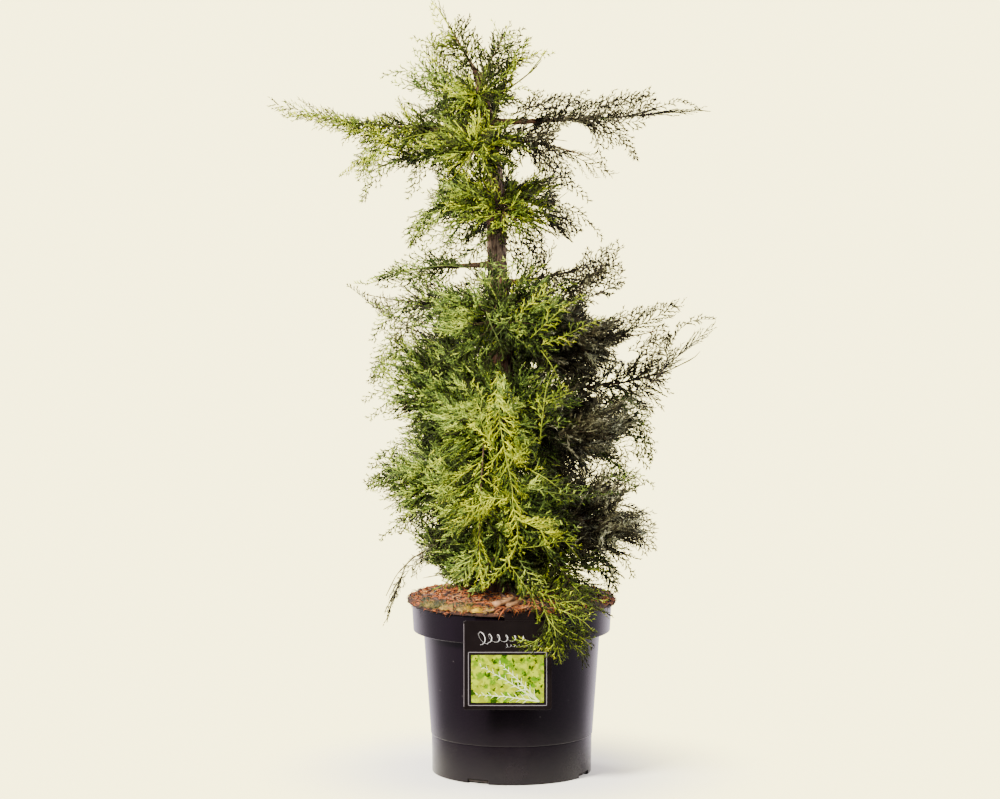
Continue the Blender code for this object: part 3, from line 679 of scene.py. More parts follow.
def heap_mesh():
    """Rings of points from the trunk out over the rim, raised and lowered by the roughness."""
    corners = []
    for ring in range(HEAP_RINGS + 1):
        radius = MULCH_RADIUS * (ring / HEAP_RINGS) ** 0.8
        for step in range(HEAP_STEPS):
            turn = 2 * math.pi * step / HEAP_STEPS
            uneven = noise.noise(Vector((math.cos(turn), math.sin(turn), 0)) * 16)
            ragged = radius + RAGGED_EDGE * (ring / HEAP_RINGS) ** 6 * uneven
            x, y = ragged * math.sin(turn), -ragged * math.cos(turn)
            corners.append((x, y, heap_height(radius) + heap_roughness(x, y)))
    radius, height = HEAP_SECTION[-1]
    for step in range(HEAP_STEPS):
        turn = 2 * math.pi * step / HEAP_STEPS
        corners.append((radius * math.sin(turn), -radius * math.cos(turn), GROUND + height))
    triangles = []
    for ring in range(HEAP_RINGS + 1):
        for step in range(HEAP_STEPS):
            a, b = ring * HEAP_STEPS + step, ring * HEAP_STEPS + (step + 1) % HEAP_STEPS
            triangles += [(a, a + HEAP_STEPS, b), (b, a + HEAP_STEPS, b + HEAP_STEPS)]
    return mesh_from("heap", corners, triangles)


heap_finish = earth("coir mulch", (0.006, 0.003, 0.002), (0.060, 0.019, 0.007))
piece("mulch_heap", heap_mesh(), heap_finish, ["mulch"])

# %% [markdown]
# Coir is fibre from coconut husks, a centimetre or so long, and it curls as it dries. Each fibre is
# a strand of three sides in one of three browns, dropped anywhere on the heap. Towards the right
# more of them are dark, as painted shade.


# %% Things on the heap
def on_heap(count, inner=20 * MM, outer=MULCH_RADIUS):
    """Random places on the heap."""
    radius = np.sqrt(rng.uniform(inner**2, outer**2, count))
    turn = rng.uniform(0, 2 * math.pi, count)
    x, y = radius * np.sin(turn), -radius * np.cos(turn)
    rough = np.array([heap_roughness(a, b) for a, b in zip(x, y)])
    return np.stack([x, y, heap_height(radius) + rough], axis=1)


def near_rim(group, past):
    """Strands whose tips stand out past the heap's edge no further than this."""
    tip = point_on(group, 1.0)
    return picked(group, np.hypot(tip[:, 0], tip[:, 1]) < MULCH_RADIUS + past)


def plain_finish(name, colour, vary=0.35, roughness=0.75):
    """One colour that darkens and lightens a little, for small things."""
    made, blank = new_material(name, Roughness=roughness)
    cloud = clamped(grain(places(blank), 120, 2), 0.3, 0.7)
    return paint(made, Base_Color=mixed(cloud, scaled(colour, 1 - vary), scaled(colour, 1 + vary)))


print("heap ready to be strewn")

# %% Coir fibres
COIR_COLOURS = {
    "rust": (0.34, 0.082, 0.012),
    "tan": (0.34, 0.150, 0.035),
    "umber": (0.030, 0.012, 0.009),
}
COIR_COUNT = 4300
COIR_LENGTH = (5 * MM, 17 * MM)
COIR_RADIUS = (0.6 * MM, 1.5 * MM)
COIR_RISE = (0.75, 0.10)  # how steeply fibres stand, as a share and at least
RIM_FLAT = 14 * MM  # so near the rim they lie flat and are shorter
UMBER_PAINTED_SHADE = (0.32, 4.5, 0.14, 0.85)  # painted shade: share of dark fibres at the middle, more per metre to the right, least, most
RUST = 0.62  # share of the others


def coir():
    """Curly fibres strewn over the heap."""
    foot = on_heap(COIR_COUNT)
    heading = random_headings(COIR_COUNT)
    heading[:, 2] = abs(heading[:, 2]) * COIR_RISE[0] + COIR_RISE[1]
    bend = random_headings(COIR_COUNT) * 0.35
    bend[:, 2] = -abs(heading[:, 2]) * 1.3
    length = rng.uniform(*COIR_LENGTH, COIR_COUNT)
    flat = np.hypot(foot[:, 0], foot[:, 1]) > MULCH_RADIUS - RIM_FLAT
    heading[flat, 2] *= 0.2
    radius = rng.uniform(*COIR_RADIUS, COIR_COUNT)
    length = np.where(flat, 0.6, 1.0) * length
    return near_rim(strands(foot, heading, length, radius, bend=bend), 2.5 * MM)


def coir_kinds(group):
    """Number of each fibre's colour: more dark ones towards the right, as painted shade."""
    # painted shade: the dark umber share grows towards the right
    middle, growth, least, most = UMBER_PAINTED_SHADE
    umber = np.clip(middle + group.foot[:, 0] * growth, least, most)
    draw = rng.uniform(size=len(group.foot))
    return np.where(draw < umber, 2, np.where(draw < umber + (1 - umber) * RUST, 0, 1))


def coir_pieces(group, kinds, prefix, words):
    """One piece for each colour of fibre."""
    for index, (name, colour) in enumerate(COIR_COLOURS.items()):
        mesh = mesh_from(prefix + name, *strand_mesh(picked(group, kinds == index), (0.0, 0.5)))
        piece(prefix + name, mesh, plain_finish(f"{name} {words}", colour), ["mulch"])


fibres = coir()
coir_pieces(fibres, coir_kinds(fibres), "coir_", "coir")

# %% [markdown]
# Finer fibres have slid down to the rim, where they tangle and hang a little over the pot's edge.
# Some also lie heaped on the label's strap. They follow the rim's round at first, and bend down.

# %% Coir at the rim and on the strap
RIM_COIR = 1500
RIM_COIR_LENGTH = (6 * MM, 17 * MM)
STRAP_COIR = 330
STRAP_LOW, STRAP_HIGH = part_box("label_hanger")
RIM_SHARES = (0.42, 0.18, 0.40)  # of rust, tan and umber


def rim_coir():
    """Fibres in tangles on the outer slope."""
    turn = rng.uniform(0, 2 * math.pi, RIM_COIR)
    radius = MULCH_RADIUS - rng.uniform(1, 15, RIM_COIR) * MM
    out = around(turn)
    round_rim = np.cross(out, (0.0, 0.0, 1.0)) * rng.choice((-1.0, 1.0), (RIM_COIR, 1))
    foot = out * radius[:, None]
    foot[:, 2] = heap_height(radius) + rng.uniform(-1.0, 2.0, RIM_COIR) * MM
    heading = round_rim * rng.uniform(0.2, 1.0, (RIM_COIR, 1))
    heading = heading + out * rng.uniform(-0.1, 0.7, (RIM_COIR, 1))
    heading[:, 2] = rng.uniform(0.0, 0.5, RIM_COIR)
    bend = random_headings(RIM_COIR) * 0.3 - (0, 0, 0.6)
    thick = rng.uniform(0.35, 0.85, RIM_COIR) * MM
    length = rng.uniform(*RIM_COIR_LENGTH, RIM_COIR)
    return near_rim(strands(foot, heading, length, thick, bend=bend), 3 * MM)


def strap_coir():
    """Mulch heaped on the label's strap, with fibres that hang over its front."""
    spread = rng.uniform(size=(STRAP_COIR, 3))
    low = np.array((STRAP_LOW.x - 5 * MM, STRAP_LOW.y - 0.5 * MM, STRAP_HIGH.z - 1 * MM))
    high = np.array((STRAP_HIGH.x + 5 * MM, STRAP_HIGH.y + 6 * MM, STRAP_HIGH.z + 2.5 * MM))
    heading = random_headings(STRAP_COIR) * (1.0, 0.7, 0.35) + (0, -0.45, 0.15)
    bend = random_headings(STRAP_COIR) * 0.25 - (0, 0, 0.8)
    thick = rng.uniform(0.4, 1.1, STRAP_COIR) * MM
    length = rng.uniform(7, 15, STRAP_COIR) * MM
    made = strands(low + (high - low) * spread, heading, length, thick, bend=bend)
    return picked(made, point_on(made, 1.0)[:, 1] > STRAP_LOW.y - 7 * MM)


fibres = together(rim_coir(), strap_coir())
kinds = rng.choice(3, len(fibres.foot), p=RIM_SHARES)
coir_pieces(fibres, kinds, "rim_coir_", "rim coir")

# %% [markdown]
# Chips are torn splinters, longer than wide and thinner still. A box with four rings of corners,
# each corner moved a little, gives one with ragged ends. Small ones lie anywhere, and a few stout
# ones stand out of the heap at the front.

# %% Bark and wood chips
CHIP_COLOURS = {"bark": (0.075, 0.034, 0.020), "wood": (0.26, 0.125, 0.048)}
CHIP_COUNTS = {"bark": 300, "wood": 46}
CHIP_LENGTH = (7, 19)  # millimetres
CHIP_WIDE = (0.14, 0.26)  # of its length
CHIP_HIGH = (0.05, 0.09)
BIG_STOUT = 1.9
BIG_TILT = 0.32
BIG_CHIPS = (  # place across, towards the front, height over the ground, bearing and length
    (-12 * MM, 131 * MM, 1 * MM, 24, 30 * MM),
    (1 * MM, 134 * MM, -1 * MM, 36, 24 * MM),
    (14 * MM, 135 * MM, -5 * MM, 12, 18 * MM),
    (-30 * MM, 133 * MM, -7 * MM, -20, 14 * MM),
)


def chip_mesh(places_on_heap, lengths, bearings, stout):
    """Splinters: boxes drawn out to uneven ends and knocked out of square."""
    box = np.array([(x, y, z) for x in (-1, -0.25, 0.4, 1) for y in (-1, 1) for z in (-1, 1)], float)
    quads = []
    for k in range(3):
        a = 4 * k
        quads += [(a, a + 4, a + 6, a + 2), (a + 1, a + 3, a + 7, a + 5), (a, a + 1, a + 5, a + 4)]
        quads += [(a + 2, a + 6, a + 7, a + 3)]
    quads += [(0, 2, 3, 1), (12, 13, 15, 14)]
    faces = [t for a, b, c, d in quads for t in ((a, c, b), (a, d, c))]
    parts = []
    for place, length, bearing, thick in zip(places_on_heap, lengths, bearings, stout):
        wide = length * thick * rng.uniform(*CHIP_WIDE)
        high = length * thick**2 * rng.uniform(*CHIP_HIGH)
        shape = box * (length / 2, wide / 2, high / 2) * rng.uniform(0.62, 1.2, box.shape)
        shape[:, 2] += shape[:, 0] * (rng.uniform(-0.2, 0.3) + BIG_TILT * (thick > 1))
        c, s = math.cos(bearing), math.sin(bearing)
        x, y, z = shape.T
        turned = np.stack([x * c - y * s, x * s + y * c, z], axis=1)
        parts.append((turned + place + (0, 0, high * 0.7), np.array(faces)))
    return merged(*parts)


for kind, colour in CHIP_COLOURS.items():
    count = CHIP_COUNTS[kind]
    spots = on_heap(count, outer=MULCH_RADIUS - 9 * MM)
    lengths = rng.uniform(*CHIP_LENGTH, count) * MM
    bearings = rng.uniform(0, math.pi, count)
    stout = np.ones(count)
    if kind == "wood":
        big = np.array([(x, -y, GROUND + rise) for x, y, rise, _, _ in BIG_CHIPS])
        spots = np.concatenate([spots, big])
        lengths = np.concatenate([lengths, [length for *_, length in BIG_CHIPS]])
        stout = np.concatenate([stout, np.full(len(BIG_CHIPS), BIG_STOUT)])
        bearings = np.concatenate([bearings, np.radians([b for *_, b, _ in BIG_CHIPS])])
    mesh = mesh_from(f"chips_{kind}", *chip_mesh(spots, lengths, bearings, stout), smooth=False)
    piece(f"chips_{kind}", mesh, plain_finish(f"{kind} chips", colour, 0.5), ["mulch"])

# %% [markdown]
# Moss grows in low cushions where the heap stays damp, at the left and the front. Each cushion is a
# few hundred short leaves that stand out all round from a flat dome. Young ones are yellow.

# %% Moss
MOSS_COLOURS = {
    "dark": (0.020, 0.021, 0.001),
    "olive": (0.060, 0.052, 0.002),
    "yellow": (0.50, 0.30, 0.0),
    "straw": (0.24, 0.15, 0.02),
}
MOSS_PATCHES = {  # centre across and towards the front, size, number of leaves; millimetres
    "dark": ((-92, 86, 15, 600), (-72, 100, 10, 360), (-112, 52, 10, 300)),
    "olive": ((-96, 88, 17, 330), (-60, 104, 13, 260), (-112, 70, 12, 260), (70, 100, 12, 200)),
    "yellow": ((-46, 128, 6, 300), (-60, 118, 4, 90)),
    "straw": ((-104, 80, 14, 230), (-84, 104, 13, 280), (-62, 118, 12, 240), (-30, 130, 9, 120)),
}
MOSS_RADIUS = 0.7 * MM


def moss(patches):
    """Short leaves that stand out all round from low cushions."""
    groups = []
    for across, front, size, count in patches:
        outward = random_headings(count)
        outward[:, 2] = abs(outward[:, 2])
        reach = math.hypot(across, front) * MM
        middle = np.array((across * MM, -front * MM, heap_height(reach) - size * 0.12 * MM))
        foot = middle + outward * (size, size, size * 0.22) * MM * rng.uniform(0.4, 1.0, (count, 1))
        heading = outward + random_headings(count) * 0.7 + (0, 0, 0.4)
        length = rng.uniform(3, 7, count) * MM
        bend = random_headings(count) * 0.3
        groups.append(strands(foot, heading, length, MOSS_RADIUS, bend=bend))
    return together(*groups)


for name, colour in MOSS_COLOURS.items():
    mesh = mesh_from(f"moss_{name}", *strand_mesh(moss(MOSS_PATCHES[name])))
    piece(f"moss_{name}", mesh, plain_finish(f"{name} moss", colour, 0.3, 0.65), ["mulch"])

# %% [markdown]
# ## The plant label
#
# A stiff card hangs over the rim on a bent strap. It is printed: a picture in a thin pale frame,
# with a black border between the two. Printed things are made here as very thin plates, one over
# the other, so that each keeps a crisp edge. The picture is a plain pattern of pale sprigs on
# leafy green, and a flourish stands where a name would.

# %% Card
PRINT = 0.12 * MM  # each printed layer stands this far proud
CARD_CORNER = 4 * MM
CARD_EDGE = 0.25 * MM


def rounded(left, right, low, high, corner, steps=6):
    """Corners of an upright rectangle with round corners."""
    made = []
    for quarter, (x, z) in enumerate(((right, high), (left, high), (left, low), (right, low))):
        cx = x + (corner if x == left else -corner)
        cz = z + (corner if z == low else -corner)
        for step in range(steps + 1):
            turn = math.radians(90 * (quarter + step / steps))
            made.append((cx + corner * math.cos(turn), cz + corner * math.sin(turn)))
    return made


def inset_ring(outline, depth, inset):
    """An outline at a depth, drawn in a little towards its middle."""
    cx = sum(x for x, _ in outline) / len(outline)
    cz = sum(z for _, z in outline) / len(outline)
    shrink = 1 - inset / max(abs(x - cx) for x, _ in outline)
    return [(cx + (x - cx) * shrink, depth, cz + (z - cz) * shrink) for x, z in outline]


def plate(outlines, front, back, edge=0.0):
    """Flat plates between two depths, with a small bevel round the front."""
    shape = bmesh.new()
    for outline in outlines:
        rings = []
        for depth, inset in ((back, 0), (front + edge, 0), (front, edge)):
            rings.append([shape.verts.new(corner) for corner in inset_ring(outline, depth, inset)])
        shape.faces.new(rings[0])
        shape.faces.new(rings[-1][::-1])
        for low, high in zip(rings, rings[1:]):
            for i in range(len(outline)):
                j = (i + 1) % len(outline)
                shape.faces.new((low[i], high[i], high[j], low[j]))
    bmesh.ops.recalc_face_normals(shape, faces=shape.faces)
    mesh = bpy.data.meshes.new("plate")
    shape.to_mesh(mesh)
    shape.free()
    return mesh


def print_layer(number):
    """Depth of the front of a printed layer, counted from the card's own face."""
    return CARD_LOW.y - number * PRINT


def satin_card(name, colour):
    """Coated card or ink, with a faint tooth."""
    made, blank = new_material(name, Specular_IOR_Level=0.2)
    cloud = grain(places(blank), 60, 3)
    tooth = grain(places(blank), 1500, 1)
    return paint(
        made,
        Base_Color=mixed(cloud, scaled(colour, 0.85), scaled(colour, 1.15)),
        Roughness=0.34 + cloud * 0.12,
        Normal=bump(tooth, 0.05 * MM, 0.4),
    )


card_black = satin_card("black card", (0.0032, 0.0013, 0.0012))
card_outline = rounded(CARD_LOW.x, CARD_HIGH.x, CARD_LOW.z, CARD_HIGH.z, CARD_CORNER)
card = plate([card_outline], CARD_LOW.y, CARD_HIGH.y, CARD_EDGE)
piece("label_board", card, card_black, ["label_card"])
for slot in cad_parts["label_hanger"].material_slots:
    slot.material = card_black

# %% Printed frame and painted edge highlight
FRAME_INSET = 6.5 * MM
FRAME_TOP = 42 * MM  # below the card's top edge
FRAME_LINE = 0.9 * MM
EDGE_HIGHLIGHT = (0.7 * MM, 1.3 * MM)  # a painted highlight down the card's left edge, in the frame's pale ink
frame_box = (
    CARD_LOW.x + FRAME_INSET,
    CARD_HIGH.x - FRAME_INSET,
    CARD_LOW.z + FRAME_INSET * 0.85,
    CARD_HIGH.z - FRAME_TOP,
)
left, right, low, high = frame_box


def bar(x0, x1, z0, z1):
    return [(x0, z0), (x1, z0), (x1, z1), (x0, z1)]


def printed(outlines):
    """Flat shapes of ink on the card."""
    return plate(outlines, print_layer(1), CARD_LOW.y + PRINT)


highlight_left, highlight_right = (CARD_LOW.x + inset for inset in EDGE_HIGHLIGHT)
frame_and_highlight_bars = [
    bar(left, right, low, low + FRAME_LINE),
    bar(left, right, high - FRAME_LINE, high),
    bar(left, left + FRAME_LINE, low, high),
    bar(right - FRAME_LINE, right, low, high),
    # painted highlight: a pale strip down the card's left edge
    bar(highlight_left, highlight_right, CARD_LOW.z + CARD_CORNER, CARD_HIGH.z - CARD_CORNER),
]
frame_and_highlight_ink = satin_card("pale frame ink", (0.20, 0.18, 0.19))
piece("label_frame_and_highlight", printed(frame_and_highlight_bars), frame_and_highlight_ink)


# %% Flourish
def loops(left_end, right_end, middle_z, rise, turns, thick):
    """One pen line that runs to the right in leaning loops and grows smaller."""
    count = 34 * turns
    share = np.linspace(0, 1, count)
    phase = share * turns * 2 * math.pi
    size = rise * (1 - 0.55 * share) * np.where(phase < 2 * math.pi, 1.35, 1.0)
    lean = 0.75 * size * np.sin(phase) + 0.35 * size * np.cos(phase)
    x = left_end + (right_end - left_end) * share + lean
    line = np.stack([x, np.full(count, print_layer(0.6)), middle_z - size * np.cos(phase)], axis=1)
    step = np.diff(line, axis=0)
    swell = thick * (1 + 0.45 * np.sin(phase[:-1]))
    return strands(line[:-1], step, np.linalg.norm(step, axis=1) * 1.3, swell, face=(0, 1, 0))


def flourish():
    """A looping flourish, and a finer one under its end, where a name would be printed."""
    middle_z = high + (CARD_HIGH.z - high) * 0.44
    start = CARD_LOW.x
    large = loops(start + 20 * MM, start + 86 * MM, middle_z, 6.4 * MM, 6, 0.50 * MM)
    small = loops(start + 56 * MM, start + 104 * MM, middle_z - 10 * MM, 1.7 * MM, 9, 0.25 * MM)
    return strand_mesh(together(large, small), (0.0,), 4, 0.2)


title_ink = satin_card("white ink", (0.80, 0.78, 0.76))
piece("label_flourish", mesh_from("flourish", *flourish()), title_ink)

# %% [markdown]
# The picture is a generic pattern in two layers of print: a ground of blurred lime and yellow
# leaves, which is only colour, and over it three pale sprigs with a raised edge.

# %% Printed picture
BORDER = 4.2 * MM
picture_box = (left + BORDER, right - BORDER, low + BORDER, high - BORDER)


def leafy_print():
    """Lime and yellow-green blurs, as of leaves out of focus, with a few dark gaps."""
    made, blank = new_material("leafy print", Roughness=0.5, Specular_IOR_Level=0.05)
    where = places(blank)
    soft = clamped(grain(where, 55, 2), 0.38, 0.62)
    spots = clamped(grain(where, 150, 3, 0.6), 0.46, 0.60)
    dark = clamped(grain(where, 120, 3, 0.6), 0.56, 0.62)
    colour = mixed(soft, (0.075, 0.185, 0.0), (0.25, 0.29, 0.0))
    colour = mixed(spots, colour, (0.37, 0.46, 0.0))
    colour = mixed(dark, colour, (0.014, 0.045, 0.0))
    return paint(made, Base_Color=colour)


piece("label_picture", printed([bar(*picture_box)]), leafy_print())

# %% Printed sprigs
SPRIG_LEAVES = 17
SPRIG_STEM = 1.2 * MM
SPRIG_LEAF = 0.8 * MM


def printed_sprigs():
    """Three pale sprigs fan up from the lower right of the picture, each with side leaves."""
    x0, x1, z0, z1 = picture_box
    root = np.array((x1 - 6 * MM, print_layer(1.2), z0 + 1.5 * MM))
    ends = ((x0 + 9 * MM, z1 - 5 * MM), (x0 + 36 * MM, z1 - 3 * MM), (x0 + 4 * MM, z0 + 18 * MM))
    groups = []
    for end_x, end_z in ends:
        span = np.array((end_x, root[1], end_z)) - root
        size = np.linalg.norm(span)
        bend = (0.0, 0.0, -0.08)
        stem = strands(root[None], span, size, SPRIG_STEM, face=(0, 1, 0), bend=bend)
        groups.append(stem)
        places_on = np.linspace(0.12, 0.95, SPRIG_LEAVES)
        foot = np.concatenate([point_on(stem, t) for t in places_on])
        ahead = np.concatenate([heading_on(stem, t) for t in places_on])
        by_turns = np.where(np.arange(SPRIG_LEAVES) % 2, 1, -1)[:, None]
        heading = ahead * 0.8 + np.cross(ahead, (0.0, 1.0, 0.0)) * by_turns * 0.75
        length = (12 - 7 * places_on) * MM
        groups.append(strands(foot, heading, length, SPRIG_LEAF, face=(0, 1, 0)))
    return strand_mesh(together(*groups), (0.0, 0.5), 4)


sprig_ink = satin_card("pale green ink", (0.66, 0.74, 0.34))
piece("label_sprigs", mesh_from("sprigs", *printed_sprigs()), sprig_ink)

# %% [markdown]
# ## Bark
#
# Juniper bark is thin, grey-brown to red, and comes off in long strings. The trunk is one tube
# through the same points as its solid: it leans a little, and spreads into root feet at the
# ground. The relief is in the mesh, long ridges that wander round the trunk, and fine lifted
# strings are added as strands. Boughs and woody twigs have the same bark, the woody twigs inside
# the crown in a darker copy as painted shade.

# %% Trunk line
TRUNK_LINE = (  # height above the ground, sideways lean and radius
    (GAP, -4 * MM, 26 * MM),
    (14 * MM, -4 * MM, 21 * MM),
    (45 * MM, -5 * MM, 18.5 * MM),
    (160 * MM, -9 * MM, 17 * MM),
    (320 * MM, -14 * MM, 15 * MM),
    (480 * MM, -21 * MM, 13 * MM),
    (580 * MM, -24 * MM, 11 * MM),
    (660 * MM, -35 * MM, 7.5 * MM),
    (710 * MM, -50 * MM, 4.5 * MM),
)


def trunk_at(height):
    """Centre and radius of the trunk at a height above the ground."""
    heights, leans, radii = zip(*TRUNK_LINE)
    lean = float(np.interp(height, heights, leans))
    return Vector((lean, 0, GROUND + height)), float(np.interp(height, heights, radii))


TRUNK_TIP = trunk_at(TRUNK_LINE[-1][0])[0]
print(f"the trunk leans {-TRUNK_TIP.x / MM:.0f} mm")


# %% Bark finish
def bark(name, dark, red, pale, stretch=(1, 1, 1)):
    """Strings of red and grey-brown, with dark cracks between them."""
    made, blank = new_material(name, Specular_IOR_Level=0.15)
    strings = grain(places(blank, stretch), 150, 5, 0.65)
    patches = grain(places(blank), 22, 3)
    fine = grain(places(blank, stretch), 420, 3)
    colour = mixed(clamped(strings, 0.36, 0.60), dark, red)
    colour = mixed(clamped(patches * 0.5 + fine * 0.5, 0.46, 0.66), colour, pale)
    return paint(
        made,
        Base_Color=colour,
        Roughness=0.78 + strings * 0.2,
        Normal=bump(strings + fine * 0.5, 1.2 * MM, 0.8),
    )


BARK_COLOURS = {  # dark, red and pale
    "trunk": ((0.018, 0.010, 0.007), (0.110, 0.052, 0.030), (0.22, 0.155, 0.105)),
    "twig": ((0.045, 0.022, 0.014), (0.19, 0.085, 0.040), (0.28, 0.19, 0.11)),
    # painted shade: the twig bark darkened, for the stems and arms inside the crown
    "inner": ((0.018, 0.010, 0.006), (0.070, 0.034, 0.018), (0.11, 0.075, 0.045)),
}
TRUNK_STRETCH = (1, 1, 0.14)  # its strings run up and down
trunk_bark = bark("trunk bark", *BARK_COLOURS["trunk"], TRUNK_STRETCH)
twig_bark = bark("twig bark", *BARK_COLOURS["twig"])
print("two barks")


# %% Tubes
def tube(points, radii, sides, relief):
    """A closed tube through points, whose surface is raised by relief(ring share, turn, place)."""
    points = np.array(points, float)
    ahead = unit(np.gradient(points, axis=0))
    side = unit(np.cross(ahead, (0.0, 1.0, 0.001)))
    up = np.cross(side, ahead)
    corners = []
    for ring, (middle, radius) in enumerate(zip(points, radii)):
        for index in range(sides):
            turn = 2 * math.pi * index / sides
            out = side[ring] * math.cos(turn) + up[ring] * math.sin(turn)
            raised = relief(ring / (len(points) - 1), turn, middle + out * radius)
            corners.append(middle + out * (radius + raised))
    corners += [points[0], points[-1]]
    first, last = len(corners) - 2, len(corners) - 1
    triangles = []
    for ring in range(len(points) - 1):
        for index in range(sides):
            a, b = ring * sides + index, ring * sides + (index + 1) % sides
            triangles += [(a, b, a + sides), (b, b + sides, a + sides)]
    top = (len(points) - 1) * sides
    for index in range(sides):
        after = (index + 1) % sides
        triangles += [(first, after, index), (last, top + index, top + after)]
    return np.array(corners), np.array(triangles)


print("tubes ready")

# %% Trunk
TRUNK_RINGS = 300
TRUNK_SIDES = 44
ROOT_FEET = (5, 5.0 * MM, 16 * MM)  # how many, how far they stand out, how high they reach
BARK_STRINGS = 420
STRING_HEIGHT = (0.02, 0.62)
STRING_LENGTH = (12, 42)  # millimetres
STRING_THICK = (0.4, 0.9)


def trunk_relief(share, turn, place):
    """Root feet at the bottom, and stringy ridges that wander as they climb."""
    height = place[2] - GROUND
    feet_count, feet_depth, feet_height = ROOT_FEET
    feet = feet_depth * math.exp(-height / feet_height) * math.cos(feet_count * turn + 0.6)
    wander = 1.3 * math.sin(height * 11) + turn
    strings = noise.noise(Vector((math.cos(wander) * 5.5, math.sin(wander) * 5.5, height * 13)))
    fine = noise.noise(Vector((math.cos(wander) * 14, math.sin(wander) * 14, height * 34 + 5)))
    fade = 0.35 + 0.65 * (1 - share)
    return feet + (1.7 * strings + 0.8 * fine) * MM * fade - 0.6 * MM


def bark_strings(count):
    """Thin strips of bark that have come loose along the trunk."""
    height = rng.uniform(*STRING_HEIGHT, count)
    turn = rng.uniform(0, 2 * math.pi, count)
    middle = np.array([trunk_at(h)[0] for h in height])
    radius = np.array([trunk_at(h)[1] for h in height])
    out = around(turn)
    heading = out * 0.10
    heading[:, 2] = np.where(rng.uniform(size=count) < 0.5, 1.0, -1.0)
    foot = middle + out * (radius[:, None] - 0.6 * MM)
    length = rng.uniform(*STRING_LENGTH, count) * MM
    thick = rng.uniform(*STRING_THICK, count) * MM
    return strands(foot, heading, length, thick, bend=out * 0.05, face=out)


heights = np.linspace(TRUNK_LINE[0][0], TRUNK_LINE[-1][0], TRUNK_RINGS)
points, radii = zip(*(trunk_at(height) for height in heights))
trunk_tube = tube(points, radii, TRUNK_SIDES, trunk_relief)
trunk_mesh = merged(trunk_tube, strand_mesh(bark_strings(BARK_STRINGS), (0.0, 0.35, 0.7), 3, 0.6))
piece("trunk_bark", mesh_from("trunk", *trunk_mesh), trunk_bark, ["trunk"])

# %% [markdown]
# ## The crown: boughs and their spaces
#
# Every bough is one row of a table: where it leaves the trunk, which way it goes, how far it
# reaches, how it rises and bends, the half-widths of its foliage, the share of it that is bare,
# its number of shoots, whether it is dense, and its green. The solids follow the same table.
# Fifteen more boughs wind down round the trunk as one ribbon, which is what is left of the
# trained spiral.

# %% Table of boughs
Bough = namedtuple("Bough", "name height bearing reach rise bend across deep bare shoots dense tint")
LOOSE_BOUGHS = (  # millimetres and degrees; heights are above the ground
    Bough("top_upright", 700, 62, 52, 78, 0.1, 56, 50, 0, 6, False, "bright"),
    Bough("top_right", 672, 88, 90, 66, 0.3, 62, 54, 0, 7, False, "bright"),
    Bough("top_left", 664, 280, 136, 46, 0.2, 66, 56, 0, 8, False, "fresh"),
    Bough("top_front", 668, 350, 108, 36, 0.3, 66, 56, 0, 8, False, "bright"),
    Bough("top_back", 664, 176, 124, 44, 0.3, 70, 56, 0, 8, False, "fresh"),
    Bough("upper_left", 628, 271, 300, 38, 0.6, 80, 56, 0.10, 13, False, "bright"),
    Bough("upper_left_low", 604, 250, 216, -74, 0.8, 80, 60, 0.08, 9, False, "fresh"),
    Bough("upper_right", 640, 92, 292, 20, 0.5, 70, 54, 0.20, 11, False, "shaded"),
    Bough("upper_right_low", 618, 66, 178, -50, 0.7, 70, 56, 0.10, 9, False, "shaded"),
    Bough("upper_front", 620, 346, 140, -66, 0.8, 80, 58, 0, 10, False, "bright"),
    Bough("upper_back_left", 630, 212, 226, 0, 0.5, 84, 60, 0, 10, False, "fresh"),
    Bough("upper_back_right", 620, 142, 204, -14, 0.5, 84, 60, 0, 10, False, "shaded"),
    Bough("middle_left", 544, 284, 124, -50, 0.7, 70, 42, 0, 9, True, "fresh"),
    Bough("middle_front", 534, 8, 112, -34, 0.7, 66, 40, 0, 8, True, "bright"),
    Bough("middle_right", 540, 90, 146, -58, 0.7, 66, 40, 0, 9, True, "shaded"),
    Bough("middle_back", 536, 188, 144, -40, 0.7, 76, 42, 0, 9, True, "fresh"),
    Bough("shoulder_left", 448, 282, 180, -12, 0.4, 62, 44, 0.24, 8, False, "fresh"),
    Bough("shoulder_left_low", 392, 262, 212, 30, 0.9, 62, 50, 0.14, 8, False, "shaded"),
    Bough("shoulder_right", 424, 96, 160, 48, 0.6, 76, 60, 0.10, 10, False, "shaded"),
    Bough("sweep_right_high", 344, 80, 252, 46, 1.0, 58, 50, 0.12, 9, False, "shaded"),
    Bough("sweep_right_low", 276, 94, 292, 96, 1.0, 66, 60, 0.12, 11, False, "shaded"),
    Bough("cascade", 300, 350, 180, -276, 0.9, 66, 54, 0.10, 12, False, "bright"),
    Bough("hem_left", 80, 274, 172, -118, 0.9, 52, 40, 0.10, 6, False, "shaded"),
    Bough("hem_spill", 76, 34, 186, -158, 1.0, 62, 48, 0.12, 10, False, "bright"),
    Bough("hem_front", 58, 346, 150, -16, 0.8, 74, 44, 0, 8, False, "fresh"),
)
print(f"{len(LOOSE_BOUGHS)} loose boughs")

